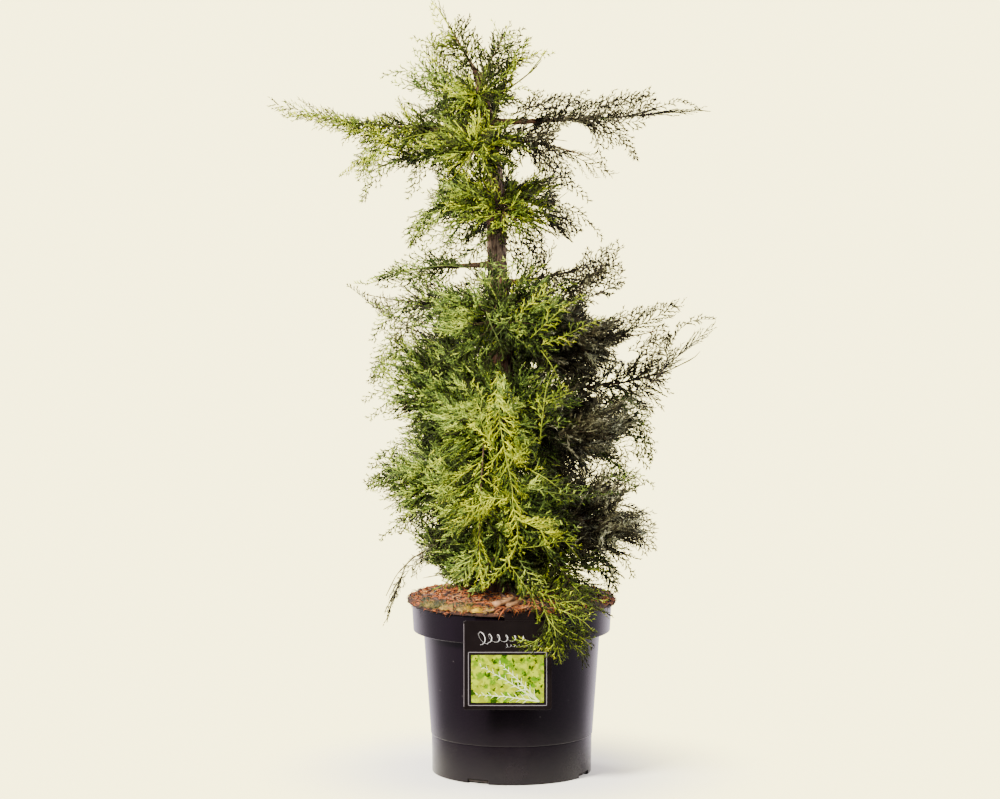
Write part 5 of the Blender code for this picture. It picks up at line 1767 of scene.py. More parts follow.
# Each row has a bough, a side, a width and extra steps of colour, then the points of its line as
# x,y,z from foot to tip, in millimetres. Side 1 branches only upward, -1 only downward, 0 both ways.
PLUME_TABLE = """
cascade 0 46 2 -20,-120,560 -15,-168,489 -7,-180,446 0,-186,414 1,-190,388 6,-192,367 6,-194,340
 -7,-196,317 -28,-192,293 -48,-184,271
cascade -1 44 2 -2,-186,397 -23,-190,399 -44,-190,391 -61,-184,375
cascade 1 36 2 6,-190,372 23,-192,365 44,-190,354 66,-180,343
cascade 1 28 0 8,-192,334 34,-190,336 58,-184,341 83,-170,340
cascade 0 30 0 -2,-190,310 13,-192,289 30,-192,261 34,-188,231
cascade 0 30 1 -5,-176,438 6,-184,456 21,-184,468 35,-176,480
cascade 0 28 1 -20,-172,459 -34,-180,482 -42,-182,509 -40,-176,533 -55,-160,553
hem_front 0 26 0 23,-180,411 51,-186,407 77,-180,403 120,-150,400 146,-130,400
middle_front 0 34 1 37,-150,472 41,-168,514 46,-172,546 58,-165,574
middle_front 0 30 1 41,-160,524 59,-166,529 79,-158,537
hem_spill 0 44 0 38,-165,261 50,-182,234 66,-188,219 87,-186,211 105,-176,215
hem_spill 0 34 0 45,-170,248 51,-184,221 58,-186,198 66,-180,179
hem_spill 0 26 0 47,-176,239 42,-184,219 29,-186,206 10,-184,199
upper_front 0 24 1 3,-60,901 -16,-90,883 -36,-104,865 -40,-108,849 -33,-112,827 -21,-112,802
 -11,-104,779
top_front 0 30 1 -37,-30,904 -49,-50,922 -64,-60,938 -80,-60,947
leader 0 22 1 -48,-8,947 -70,-10,972 -83,-10,994 -93,-8,1014 -105,-6,1035 -110,-5,1050
leader 0 16 0 -81,-10,990 -102,-20,992 -123,-24,998 -137,-24,1002
top_left 0 30 0 -67,-20,933 -96,-26,950 -123,-28,956 -147,-26,956 -178,-22,948
top_upright 0 24 0 -46,0,939 -17,6,967 -5,8,983 7,6,998 15,4,1016
top_right 0 24 0 -38,0,933 -16,0,955 10,-4,968 30,-4,978 59,-4,979
top_right 1 14 1 -21,-20,913 -8,-24,927 16,-24,932 38,-20,919
upper_left 0 34 1 -123,-40,851 -155,-46,862 -187,-46,870 -220,-40,886 -260,-32,898 -295,-24,895
 -321,-18,909
upper_left -1 28 1 -149,-60,852 -179,-66,849 -205,-64,838 -233,-56,817
upper_left_low 0 22 0 -150,-30,840 -172,-34,827 -188,-32,805 -202,-28,778
upper_left_low 0 22 0 -109,-60,828 -125,-64,817 -134,-60,798 -139,-56,785
upper_right 1 24 0 31,-6,893 55,-10,894 100,-14,886 147,-16,891 194,-16,907 225,-12,915 262,-6,898
upper_right 0 18 0 102,-14,885 114,-20,864 120,-20,842 128,-16,818
upper_right 0 18 0 135,-14,888 148,-20,872 159,-20,853 170,-16,834
upper_right_low 0 22 0 38,-40,840 59,-46,822 81,-44,803 108,-36,780
upper_right_low 0 22 0 51,-30,789 75,-34,773 100,-30,757 124,-24,729
shoulder_left 1 26 0 -45,-60,691 -83,-60,697 -118,-54,694 -153,-46,685 -196,-36,671 -218,-30,672
shoulder_left_low 1 20 0 -146,-20,618 -170,-20,626 -194,-18,645 -211,-16,659 -224,-14,669
shoulder_right 1 34 0 65,0,652 92,-6,661 117,-8,674 136,-8,699 146,-6,728
sweep_right_high 1 26 0 92,-30,573 128,-34,584 149,-34,594 170,-30,614 188,-26,631 207,-20,640
 232,-14,634
sweep_right_low 1 34 0 133,-20,512 156,-24,520 186,-26,533 203,-26,552 212,-24,577 225,-20,606
 241,-14,618 282,-6,621
spiral_09 0 24 0 113,-60,408 145,-64,414 173,-60,411 195,-50,396
spiral_12 0 24 0 113,-70,355 143,-74,347 167,-70,328 181,-60,305
hem_left 0 20 0 -97,-60,327 -126,-70,301 -148,-74,274 -162,-70,244 -170,-64,226
spiral_05 0 24 0 -137,-60,543 -161,-66,533 -185,-60,524 -204,-52,513
spiral_10 0 24 0 -123,-70,423 -153,-76,418 -177,-72,409 -202,-60,405
spiral_15 0 20 0 -124,-60,367 -145,-66,355 -167,-62,338 -181,-54,323
spiral_05 0 28 0 -118,-50,621 -145,-60,611 -166,-62,589 -185,-56,564 -194,-48,537
shoulder_left 0 24 0 -107,-60,651 -137,-64,651 -161,-60,643 -180,-52,626
spiral_10 0 26 0 -129,-70,463 -155,-76,456 -177,-72,439 -194,-60,422
shoulder_right 1 30 0 79,10,646 101,8,668 117,4,693 124,2,720
shoulder_right -1 26 0 81,-10,645 108,-16,653 133,-16,664 154,-10,674
shoulder_right 0 24 0 73,-20,662 89,-26,681 100,-26,700 105,-20,721
spiral_04 0 28 0 127,-40,514 154,-46,504 176,-44,482 189,-36,451
spiral_09 0 26 0 119,-50,461 146,-54,453 170,-50,439 189,-40,419
spiral_14 0 26 0 92,-60,305 116,-66,292 132,-64,273 141,-56,252
spiral_14 0 26 0 114,-40,324 138,-44,313 155,-40,294 166,-34,268
spiral_12 0 24 0 125,-40,370 152,-46,371 176,-44,360 195,-36,342
middle_front 0 22 1 38,-150,598 63,-150,607 92,-140,621 122,-126,633
middle_front 0 26 1 24,-150,607 47,-152,629 71,-146,649 100,-134,664
middle_front 0 26 1 5,-140,633 26,-140,654 53,-132,669 87,-120,678
middle_front 0 24 0 -5,-120,655 10,-120,676 29,-112,692 48,-100,704
cascade 0 24 0 38,-150,591 52,-156,571 63,-158,547 66,-152,523
shoulder_left_low 0 24 0 -110,-50,618 -142,-54,626 -169,-50,621 -188,-44,607
spiral_06 0 24 0 -134,-60,523 -158,-66,520 -180,-62,503 -196,-54,489
upper_left 0 28 0 -88,-40,875 -131,-50,870 -171,-52,854 -209,-46,830
upper_right 0 26 1 6,-6,892 38,-10,902 73,-12,911 111,-10,916
upper_right 0 24 0 105,-12,892 135,-16,907 162,-16,919 189,-12,933
upper_right 0 20 0 119,-14,890 140,-20,872 159,-20,850 170,-16,837
upper_right 0 18 0 65,-12,894 73,-14,907 86,-14,920 105,-12,931
top_upright 0 30 1 -32,0,941 -19,4,968 -5,4,990 3,2,1011
top_right 0 26 1 -35,-10,928 -8,-12,949 16,-10,968 35,-8,984
top_left 0 26 1 -72,-20,928 -99,-26,944 -121,-26,966 -131,-22,990
top_left 0 28 0 -67,-20,920 -102,-28,928 -134,-28,936 -164,-24,942
upper_left_low 0 24 1 -160,-50,851 -182,-56,833 -195,-54,809 -202,-48,779
middle_left 0 24 0 -83,-50,778 -110,-58,763 -128,-58,745 -137,-52,723
middle_left 0 26 0 -40,-40,754 -67,-46,739 -88,-46,725 -113,-40,714
middle_right 0 26 0 -11,-30,759 11,-36,744 24,-36,722 34,-30,700
shoulder_left 0 26 0 -97,-40,687 -129,-46,682 -156,-46,685 -183,-40,676
shoulder_left 0 24 0 -81,-30,700 -113,-34,706 -143,-34,700 -167,-30,689
spiral_05 0 34 1 -118,-50,590 -148,-60,584 -169,-60,570 -188,-52,545
spiral_10 0 34 0 -132,-70,423 -158,-76,418 -177,-72,409 -196,-62,400
spiral_12 0 28 0 78,-60,305 108,-66,292 130,-64,275 145,-56,255
shoulder_right 0 30 0 73,-10,653 103,-14,675 126,-14,699 135,-10,725
sweep_right_high 0 26 0 119,-30,588 143,-34,606 162,-32,625 178,-28,643
spiral_04 0 30 0 141,-40,487 167,-44,482 184,-42,460 192,-36,430
cascade 0 26 0 -56,-150,312 -72,-156,294 -88,-156,281 -106,-150,272
spiral_01 0 30 0 -34,-150,642 -27,-160,624 -17,-166,603 -11,-164,579
spiral_01 0 30 0 0,-150,636 -16,-160,616 -32,-164,598 -45,-160,576
spiral_01 0 28 0 -16,-150,634 0,-160,613 18,-160,598 34,-150,578
upper_right 1 22 0 38,-10,893 65,-14,895 97,-14,893 127,-12,892
upper_right_low 0 26 0 0,-30,880 27,-38,872 51,-40,856 67,-34,840
upper_right_low 0 24 0 -5,-30,867 16,-38,854 35,-40,838 48,-34,816
leader 0 20 0 -87,-10,955 -97,-14,974 -105,-14,991 -110,-12,1007
top_left 0 20 0 -107,-20,925 -118,-24,939 -127,-24,951 -135,-20,963
top_right 0 22 0 -20,-6,949 -4,-8,968 11,-8,987 24,-6,1002
upper_right 1 28 1 0,-20,897 32,-24,909 65,-24,915 100,-20,912
upper_right 1 26 0 82,-14,899 118,-18,908 153,-16,912 179,-12,919 194,-10,925
upper_right 0 20 0 96,-16,896 113,-20,883 131,-20,869 147,-16,856
upper_left_low 0 20 0 -178,-40,862 -190,-44,850 -200,-42,834 -207,-38,815
middle_left 0 24 0 -115,-46,768 -126,-50,752 -134,-48,736 -140,-42,718
middle_left 0 28 0 -38,-36,749 -58,-42,736 -76,-42,721 -95,-36,703
middle_left 0 24 0 -32,-36,730 -50,-42,717 -67,-42,706 -85,-36,695
middle_right 0 26 0 -9,-36,744 8,-40,733 26,-38,718 42,-32,700
middle_right 0 24 0 -12,-36,725 1,-40,711 16,-38,701 30,-32,689
shoulder_left 0 26 0 -118,-46,674 -143,-50,685 -166,-48,686 -185,-42,678
shoulder_left 0 28 0 -131,-60,646 -155,-64,635 -174,-62,618 -189,-54,593
shoulder_left_low 0 26 0 -137,-60,621 -155,-64,606 -169,-60,586 -180,-54,564
spiral_05 0 26 0 -150,-60,584 -168,-64,573 -181,-60,557 -190,-52,536
spiral_10 0 22 0 -150,-70,434 -169,-74,426 -183,-70,412 -194,-62,393
hem_left 0 22 0 -116,-66,372 -130,-70,362 -141,-66,349 -150,-60,333
shoulder_right 0 28 0 65,0,666 92,-4,685 117,-4,704 140,0,721
shoulder_right 0 26 0 76,-10,658 103,-14,671 127,-14,686 149,-10,699
sweep_right_high 0 22 0 119,-30,608 139,-34,621 159,-32,629 181,-26,634
sweep_right_low 0 24 0 157,-20,578 177,-24,586 198,-22,594 217,-16,599
sweep_right_low 0 22 0 173,-24,581 188,-28,597 200,-26,608 211,-20,614
spiral_04 0 24 0 138,-40,517 159,-44,512 177,-42,496 187,-36,468
spiral_09 0 26 0 113,-50,442 135,-54,433 154,-50,416 169,-42,392
spiral_09 0 22 0 141,-40,487 162,-44,474 180,-42,455 190,-36,430
spiral_12 0 24 0 124,-50,361 149,-54,352 170,-50,333 188,-42,308
spiral_14 0 24 0 105,-60,313 119,-64,300 132,-62,283 143,-56,265
hem_spill 0 36 0 51,-176,245 56,-186,223 60,-188,201 65,-182,176
hem_spill 0 36 0 51,-174,240 67,-184,220 83,-186,202 99,-180,187
hem_spill 0 36 0 58,-172,250 76,-182,245 93,-184,236 109,-178,219
hem_spill 0 30 0 58,-170,256 74,-180,261 88,-180,261 103,-174,254
hem_spill 0 34 0 59,-176,231 75,-186,223 91,-186,214 107,-180,199
hem_spill 0 30 0 38,-182,214 26,-188,207 17,-190,204 6,-188,201
hem_spill 0 34 1 33,-160,271 58,-170,264 79,-176,255 98,-174,238
hem_front 0 34 0 -45,-150,328 -56,-160,311 -65,-162,293 -72,-156,273
hem_front 0 34 0 10,-150,312 21,-162,295 32,-164,279 44,-158,264
cascade 0 34 1 24,-168,434 43,-176,425 63,-178,410 80,-170,391
cascade 0 34 0 37,-168,368 56,-176,353 74,-176,336 90,-168,315
cascade 0 34 0 -56,-168,434 -75,-176,422 -92,-174,405 -106,-164,383
upper_right 0 24 0 4,-24,900 31,-28,911 59,-28,918 89,-24,920
upper_right 0 22 0 108,-18,905 135,-20,915 161,-18,920 188,-14,923
upper_right 1 18 0 156,-14,901 172,-16,908 186,-14,913 195,-12,917
top_left 0 24 0 -102,-20,912 -115,-24,926 -126,-24,939 -136,-20,950
leader 0 20 0 -81,-10,947 -91,-14,963 -99,-14,979 -106,-12,992
top_upright 0 22 0 -38,0,944 -40,2,963 -43,2,979 -47,0,990
top_right 0 24 0 -8,-8,952 6,-10,971 16,-10,987 24,-8,1003
middle_right 0 24 0 45,-30,777 59,-34,762 73,-32,751 88,-26,743
middle_left 0 26 0 -67,-36,754 -80,-40,738 -91,-38,722 -97,-32,706
middle_left 0 22 0 -118,-46,774 -130,-48,758 -137,-46,739 -136,-40,720
upper_right_low 0 22 0 51,-34,851 64,-38,835 74,-36,819 83,-30,801
leader 0 24 0 -86,-10,949 -99,-16,963 -113,-16,976 -123,-14,990
top_left 0 24 0 -102,-22,920 -118,-26,934 -131,-26,944 -144,-22,952
leader 0 18 0 -89,-10,968 -97,-12,984 -105,-12,998 -110,-10,1008
top_right 0 24 0 -16,-10,944 1,-12,966 15,-12,984 23,-10,1000
upper_right 0 28 0 143,-16,893 161,-20,901 178,-18,909 194,-14,917
upper_right 0 26 0 137,-16,888 159,-20,888 178,-18,891 191,-14,899
upper_right 0 24 0 105,-16,888 116,-20,877 127,-20,866 138,-16,854
upper_left_low 0 26 0 -171,-40,856 -185,-44,846 -196,-42,832 -204,-38,816
upper_left_low 0 22 1 -177,-44,867 -193,-48,857 -203,-46,843 -212,-40,827
middle_left 0 26 0 -96,-46,766 -112,-50,755 -126,-48,741 -134,-42,722
middle_left 0 26 0 -76,-46,752 -94,-50,742 -110,-48,731 -123,-42,717
middle_right 0 26 0 -5,-34,730 3,-38,717 8,-36,700 11,-30,684
middle_right 0 26 0 16,-34,746 27,-38,730 35,-36,717 43,-30,701
middle_right 0 24 0 49,-34,770 65,-38,762 78,-36,752 92,-30,739
shoulder_left_low 0 26 0 -145,-60,635 -161,-64,640 -177,-60,646 -190,-54,648
spiral_05 0 24 0 -145,-60,562 -160,-64,554 -174,-60,546 -188,-52,537
spiral_10 0 28 0 -153,-70,417 -168,-74,412 -183,-70,407 -195,-62,397
spiral_15 0 26 0 -124,-66,379 -136,-70,366 -145,-66,352 -152,-60,335
shoulder_right 0 30 0 106,-10,658 122,-14,675 135,-14,694 144,-10,715
shoulder_right 0 28 0 114,-20,653 130,-24,665 143,-24,678 151,-20,694
sweep_right_low 0 28 0 173,-20,569 189,-24,581 203,-22,591 215,-16,604
sweep_right_low 0 28 0 181,-24,564 196,-28,576 208,-26,586 219,-20,597
spiral_09 0 28 0 146,-40,474 165,-44,463 180,-42,447 190,-36,426
spiral_09 0 28 0 124,-50,429 140,-54,421 155,-50,407 168,-42,387
spiral_12 0 26 0 149,-50,363 168,-54,353 184,-50,333 194,-42,308
spiral_14 0 26 0 111,-60,299 122,-64,289 132,-62,275 141,-56,258
spiral_01 0 26 1 16,-140,708 -4,-148,701 -21,-150,690 -36,-144,677
spiral_01 0 24 0 -46,-140,713 -30,-148,706 -15,-150,696 0,-144,681
middle_left 0 28 0 -32,-30,732 -48,-34,722 -64,-34,711 -81,-30,700
middle_right 0 20 0 39,-34,749 40,-36,730 39,-34,711 35,-28,692
upper_left_low 0 28 0 -182,-44,851 -193,-46,838 -201,-44,824 -207,-38,808
shoulder_left 0 24 0 -102,-40,682 -126,-44,677 -153,-42,673 -180,-36,667
shoulder_left 0 26 0 -139,-60,627 -158,-64,630 -174,-60,638 -190,-54,649
spiral_05 0 26 0 -148,-60,570 -162,-64,563 -176,-60,553 -188,-52,541
middle_right 0 24 0 54,-34,754 67,-38,754 81,-36,749 93,-30,741
upper_left 0 26 0 -160,-50,865 -190,-54,873 -217,-50,881 -243,-44,891
upper_left 0 26 1 -204,-36,886 -238,-38,894 -271,-34,896 -298,-28,899
"""


def plume_row(text):
    bough, side, width, pale, *points = text.split()
    line = [tuple(int(part) for part in point.split(",")) for point in points]
    return Plume(bough, int(side), int(width), int(pale), line)


# a row that starts with a blank goes on from the one before
PLUMES = [plume_row(row) for row in PLUME_TABLE.strip().replace("\n ", " ").splitlines()]
print(f"{len(PLUMES)} plumes")

# %% Shoots along a plume
PLUME_POINTS = 40
PLUME_EVERY = 4.8 * MM
PLUME_LEAN = (34, 54)
PLUME_INWARD = 0.2  # share of shoots that point back at the crown, so the spray isn't flat
SPRAY_RADIUS = 0.9 * MM  # of the shoots on it


def smooth_line(points, count):
    """Even points on a curve through the given ones."""
    points = np.array(points) * MM
    ends = np.concatenate([[0], np.cumsum(np.linalg.norm(np.diff(points, axis=0), axis=1))])
    slope = np.gradient(points, ends, axis=0)
    where = np.linspace(0, ends[-1], count)
    before = np.clip(np.searchsorted(ends, where, side="right") - 1, 0, len(ends) - 2)
    size = (ends[before + 1] - ends[before])[:, None]
    t = (where - ends[before])[:, None] / size
    start = (2 * t**3 - 3 * t**2 + 1) * points[before] + (t**3 - 2 * t**2 + t) * size * slope[before]
    end = (3 * t**2 - 2 * t**3) * points[before + 1] + (t**3 - t**2) * size * slope[before + 1]
    return start + end


def plume_shoots(plume, line):
    """Shoots along a plume's line, in the plane that faces outward."""
    steps = np.diff(line, axis=0)
    reach = np.linalg.norm(steps, axis=1).sum()
    count = int(reach / PLUME_EVERY)
    t = (np.arange(count) + 0.5) / count
    index = (t * (len(steps) - 1)).astype(int)
    ahead = unit(steps[index])
    face = unit(np.array((0, -1.0, 0.15)) + 0.22 * random_headings(count))
    across = unit(np.cross(face, ahead))
    upward = np.where(across[:, 2] + 0.3 * across[:, 0] < 0, -1.0, 1.0)
    by_turns = np.where(np.arange(count) % 2 == 0, 1.0, -1.0)
    rare = rng.uniform(size=count) < 0.2
    side = np.where(rare, by_turns, plume.side) if plume.side else by_turns
    lean = np.radians(rng.uniform(*PLUME_LEAN, count))[:, None]
    inward = (rng.uniform(size=count) < PLUME_INWARD)[:, None]
    across = np.where(inward, np.array((0, 1.0, 0)), across * (side * upward)[:, None])
    heading = ahead * np.cos(lean) + across * np.sin(lean)
    profile = np.minimum(0.4 + 2.4 * t, 1.0) * (1 - 0.86 * np.maximum(t - 0.3, 0) / 0.7)
    length = plume.width * MM * profile * rng.uniform(0.65, 1.12, count)
    bend = (ahead - heading) * 0.22 + random_headings(count) * 0.06
    looks = {"face": face, "own": own_number[plume.bough], "shade": plume.pale}
    return strands(line[index], heading, length, SPRAY_RADIUS, bend=bend, **looks)


plume_lines = [smooth_line(plume.line, PLUME_POINTS) for plume in PLUMES]
plume_parts = together(*(plume_shoots(plume, line) for plume, line in zip(PLUMES, plume_lines)))
shoots = together(shoots, plume_parts)
shoots = shoots._replace(shade=shoots.shade + rng.choice((-1, 0, 0, 1), len(shoots.foot)))
print(f"{len(plume_parts.foot)} shoots on {len(PLUMES)} plumes")

# %% [markdown]
# The crown has three greens: bright yellow-green, fresh green, and a greyer one for the shade. In
# front each bough keeps its own. Towards the back the last two give way, shoot by shoot, to one
# mixture, so that no border shows when the plant is turned.

# %% Tint of each shoot
TINT_NAMES = ("bright", "fresh", "shaded")
BACK_FROM, BACK_TO = -0.02, 0.07  # from here to here, measured backward, the tints mingle
BACK_FRESH = 0.85  # share of fresh green shoots on the back of the plant


def dealt_tints(group):
    """Each shoot's tint: its bough's own in front, and one mixture all over the back."""
    own = np.array([TINT_NAMES.index(bough.tint) for bough in boughs])[group.own]
    behind = np.clip((group.foot[:, 1] - BACK_FROM) / (BACK_TO - BACK_FROM), 0, 1)
    draw = rng.uniform(size=len(own))
    mixture = np.where(rng.uniform(size=len(own)) < BACK_FRESH, 1, 2)
    return np.where((own > 0) & (draw < behind), mixture, own)


shoots = shoots._replace(tint=dealt_tints(shoots))
print([int((shoots.tint == kind).sum()) for kind in range(3)], "shoots of each tint")

# %% [markdown]
# One function makes the side shoots of many axes at once. It is called for twigs and then for
# spurs. Left and right are taken by turns, and each one is rolled a little out of the spray's plane.

# %% Twigs
TWIG_EVERY = 6.2 * MM
TWIG_RADIUS = 0.80 * MM
TWIG_SPAN = (0.04, 0.98)  # from here to here along a shoot
TWIG_LEAN = (24, 44)
TWIG_SHARE = 0.40  # length of the longest against the shoot's own


def branch(parents, every, span, lean, length, radius, *, curl=0.25, loose_roll=0.35):
    """Side shoots along each strand, left and right by turns in its flat plane."""
    counts = np.maximum(np.round(parents.length / every), 2).astype(int)
    rows = np.repeat(np.arange(len(counts)), counts)
    place = np.arange(len(rows)) - np.repeat(np.cumsum(counts) - counts, counts)
    parent = picked(parents, rows)
    t = span[0] + (span[1] - span[0]) * (place + rng.uniform(0.1, 0.9, len(rows))) / counts[rows]
    ahead = heading_on(parent, t)
    roll = rng.normal(0, loose_roll, len(rows))[:, None]
    side = np.where(place % 2 == 0, 1.0, -1.0)[:, None] * np.cross(parent.face, ahead)
    out = side * np.cos(roll) + parent.face * np.sin(roll)
    angle = np.radians(rng.uniform(*lean, len(rows)))[:, None]
    heading = ahead * np.cos(angle) + out * np.sin(angle)
    return strands(
        point_on(parent, t),
        heading,
        length(parent, t) * rng.uniform(0.7, 1.15, len(rows)),
        radius,
        bend=(ahead - heading) * curl + random_headings(len(rows)) * 0.05,
        face=parent.face + 0.3 * random_headings(len(rows)),
        own=parent.own,
        shade=parent.shade,
        tint=parent.tint,
    )


def twig_length(shoot, t):
    """Longest about a third of the way up a shoot, and short at its tip."""
    shape = np.minimum(0.55 + 1.5 * t, 1.0) * (1 - 0.72 * np.maximum(t - 0.3, 0) / 0.7)
    return shoot.length * TWIG_SHARE * shape


twigs = branch(shoots, TWIG_EVERY, TWIG_SPAN, TWIG_LEAN, twig_length, TWIG_RADIUS)
twigs = picked(twigs, clear_of_solids(point_on(twigs, 1.0)))
print(f"{len(twigs.foot)} twigs")

# %% [markdown]
# Old green deep in the crown is dark and dull, and the young tips outside are light. So each twig
# gets one of four shades, from its depth, its height, the side that it is on, some chance, and a
# cloudy noise that makes whole clumps lighter or darker. Its spurs follow it, some a shade lighter.
# The depth is partly that old green and partly painted shade inside the crown. The furrow gets
# painted shade, and the upper tiers and the side towards the key lamp get painted light.

# %% Shades
SHADES = 4
CLUMPS = 26  # one over the size in metres of darker and lighter parts
CLUMP_DEPTH = 1.6
PAINTED_LIGHT_ABOVE = ((0.74, 0.08, 0.55), (0.90, 0.06, 0.35))  # painted light: from a height, over a span: steps lighter
PAINTED_LIGHT_SIDE = unit(np.array((-0.72, -0.60, 0.34)))  # painted light: strands on this side are drawn lighter
DEEPEST = -1.36  # steps at the trunk: old green and painted shade deep in the crown
LIGHTER_OUT = 2.3  # steps from there to the outline
PAINTED_LIGHT_STEPS = 0.65
# painted shade: steps darker in the furrow
FURROW_PAINTED_SHADE = 1.5
CHANCE = 0.6
TONE = dict(  # extra steps
    upper_front=-0.3, top_front=-0.4, middle_left=0.3, middle_right=0.5, cascade=-0.2,
    hem_spill=-0.3, spiral_06=0.4, spiral_11=0.6, spiral_02=0.3, spiral_07=0.7, spiral_12=0.45,
    hem_front=0.4,
)
tone = np.array([TONE.get(bough.name, 0.0) for bough in boughs])


def shade_of(group):
    """Shade number of each strand: pale at the tips and outside, deep inside the crown, with painted
    light above and towards the key lamp and painted shade in the furrow.
    """
    tip = point_on(group, 1.0)
    middle = np.stack([np.interp(tip[:, 2], trunk_axis[:, 2], trunk_axis[:, 0]), 0 * tip[:, 0]], axis=1)
    out = tip[:, :2] - middle
    depth = np.linalg.norm(out, axis=1) / np.maximum(reaches[group.own], 90 * MM)
    painted_light = unit(np.concatenate([out, 0 * out[:, :1]], axis=1)) @ PAINTED_LIGHT_SIDE
    # depth gives old green and painted shade inside; the side towards the key lamp gets painted light
    level = DEEPEST + LIGHTER_OUT * np.clip(depth, 0, 1.1) + PAINTED_LIGHT_STEPS * painted_light + group.shade
    # painted shade in the furrow
    level += tone[group.own] + rng.normal(0, CHANCE, len(tip)) - FURROW_PAINTED_SHADE * in_groove(tip)
    # painted light on the upper tiers
    for height, fade, steps in PAINTED_LIGHT_ABOVE:
        level += steps * np.clip((tip[:, 2] - height) / fade, 0, 1)
    level += CLUMP_DEPTH * np.array([noise.noise(Vector(place) * CLUMPS) for place in tip])
    return np.clip(np.round(level), 0, SHADES - 1).astype(int)


twigs = twigs._replace(shade=shade_of(twigs))
print(np.bincount(twigs.shade), "twigs of each shade")

# %% Spurs
SPUR_RADIUS = 0.72 * MM
SPUR_EVERY = 3.4 * MM
SPUR_SPAN = (0.08, 0.98)
SPUR_LEAN = (22, 44)
SPUR_LENGTH = (6 * MM, 11 * MM)
COARSER = np.array((1.45, 1.2, 1.05, 1.0))  # the deep shades are drawn fuller


def spur_length(twig, t):
    """Spurs are much of a size, and shorter at a twig's tip."""
    return np.clip(twig.length * 0.42, *SPUR_LENGTH) * (1 - 0.4 * t)


spurs = branch(
    twigs, SPUR_EVERY, SPUR_SPAN, SPUR_LEAN, spur_length, SPUR_RADIUS, curl=0.2, loose_roll=0.4
)
lighter = rng.uniform(size=len(spurs.foot)) < 0.25
spurs = spurs._replace(shade=np.minimum(spurs.shade + lighter, SHADES - 1))
shoots = shoots._replace(shade=np.maximum(shade_of(shoots), 1))
twigs = twigs._replace(radius=twigs.radius * COARSER[twigs.shade])
spurs = spurs._replace(radius=spurs.radius * COARSER[spurs.shade])
print(f"{len(spurs.foot)} spurs")

# %% [markdown]
# Scale leaves overlap like tiles, which shows as a fine grain and a soft relief. Each of the twelve
# greens gets its own plain colour, varied a little by patches and scales. Twigs and spurs of one
# green are joined, and a large group is cut into pieces that stay light enough to handle.

# %% Foliage finish
TINTS = {  # deep, middle, light and tip colour
    "bright": (
        (0.014, 0.017, 0.001), (0.050, 0.075, 0.006), (0.170, 0.255, 0.016), (0.50, 0.60, 0.02)
    ),
    "fresh": (
        (0.012, 0.016, 0.001), (0.038, 0.064, 0.010), (0.138, 0.232, 0.034), (0.42, 0.56, 0.07)
    ),
    "shaded": (
        (0.016, 0.0135, 0.005), (0.048, 0.0475, 0.023), (0.140, 0.152, 0.085), (0.35, 0.375, 0.25)
    ),
}


def scaly(name, colour):
    """Overlapping scale leaves: each patch of them a little lighter, darker or yellower."""
    made, blank = new_material(name, Specular_IOR_Level=0.12)
    patches = grain(places(blank), 34, 2)
    scales = grain(places(blank), 700, 2, 0.6)
    share = clamped(patches * 0.55 + scales * 0.45, 0.38, 0.62)
    blend = mixed(share, scaled(colour, 0.62), scaled(colour, (1.45, 1.25, 1.1)))
    return paint(made, Base_Color=blend, Roughness=0.50 + scales * 0.25, Normal=bump(scales, 0.3 * MM))


print(f"{len(TINTS) * SHADES} greens")

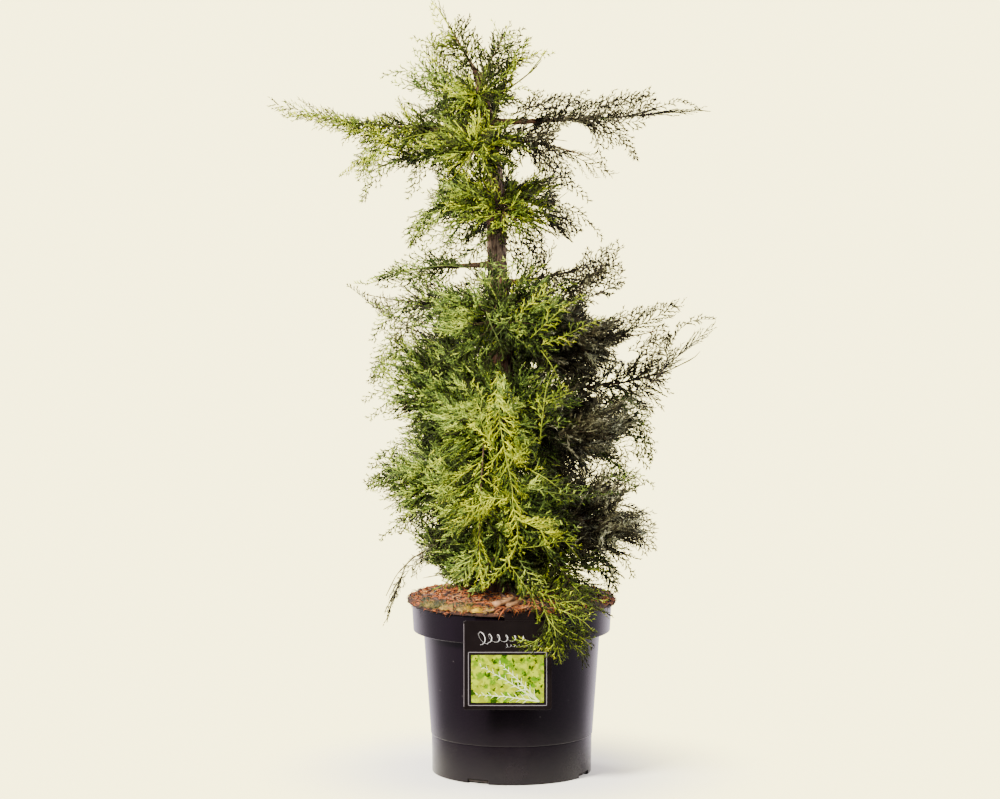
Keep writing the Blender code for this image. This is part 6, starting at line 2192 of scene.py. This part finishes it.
# %% Foliage
PIECE_STRANDS = 50000
foliage_nodes = {
    tint: [f"{bough.name}_foliage" for bough in boughs if bough.tint == tint] for tint in TINTS
}
for tint, colours in TINTS.items():
    kind = TINT_NAMES.index(tint)
    for shade, colour in enumerate(colours):
        finish = scaly(f"{tint} foliage {shade}", colour)
        axes, some_twigs, some_spurs = (
            picked(g, (g.tint == kind) & (g.shade == shade)) for g in (shoots, twigs, spurs)
        )
        fine = together(some_twigs, some_spurs)
        for number, start in enumerate(range(0, len(fine.foot), PIECE_STRANDS)):
            part = strand_mesh(picked(fine, slice(start, start + PIECE_STRANDS)))
            if number == 0:
                part = merged(strand_mesh(axes, (0, 0.5), 3, 0.7), part)
            mesh = mesh_from(f"{tint} {shade}", *part)
            name = f"{tint}_foliage_{shade}{'abcdef'[number]}"
            piece(name, mesh, finish, foliage_nodes[tint])

# %% [markdown]
# Each plume's own axis is a soft green or reddish stalk, a thin tube along its line. Inside the
# crown the stems and arms are brown wood, in a darker copy of the twig bark as painted shade. An
# arm is shown only where its end lies in the crown.

# %% Stalks
STALK_COLOURS = {
    "bright": (0.25, 0.29, 0.005),
    "fresh": (0.09, 0.12, 0.01),
    "shaded": (0.05, 0.035, 0.02),
}
STALK_RADIUS = (0.020, 0.009)  # at foot and tip, as a share of its spray's width
STALK_SIDES = 5


def no_relief(share, turn, place):
    return 0.0


for tint, colour in STALK_COLOURS.items():
    radii = np.linspace(*STALK_RADIUS, PLUME_POINTS // 2) * MM
    stalks = [
        tube(line[::2], radii * plume.width, STALK_SIDES, no_relief)
        for plume, line in zip(PLUMES, plume_lines)
        if boughs[own_number[plume.bough]].tint == tint
    ]
    mesh = mesh_from(f"{tint} stalks", *merged(*stalks))
    finish = plain_finish(f"{tint} stalk", colour)
    piece(f"{tint}_stalks", mesh, finish, foliage_nodes[tint])

# %% Woody twigs
# painted shade: the stems and arms take the darkened copy of the twig bark
painted_shade_bark = bark("inner bark", *BARK_COLOURS["inner"])
ends = point_on(arms, 1.0)
arms = picked(arms, in_outline(ends, arms.own, 1.0) & ~in_sky(ends))
wood = merged(*stem_tubes(), strand_mesh(arms, (0, 0.4, 0.8), 4, 0.6))
piece("woody_twigs", mesh_from("woody twigs", *wood), painted_shade_bark, [])

# %% [markdown]
# ## Size, then finish
#
# The detailed plant has to fill the same box as its solids, so both boxes are kept side by side.

# %% Finish
low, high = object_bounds()
print("solids", [round(v, 3) for v in (*cad_low, *cad_high)])
print("detail", [round(v, 3) for v in (*low, *high)])
{"cad": [list(cad_low), list(cad_high)], "visual": [list(low), list(high)]}
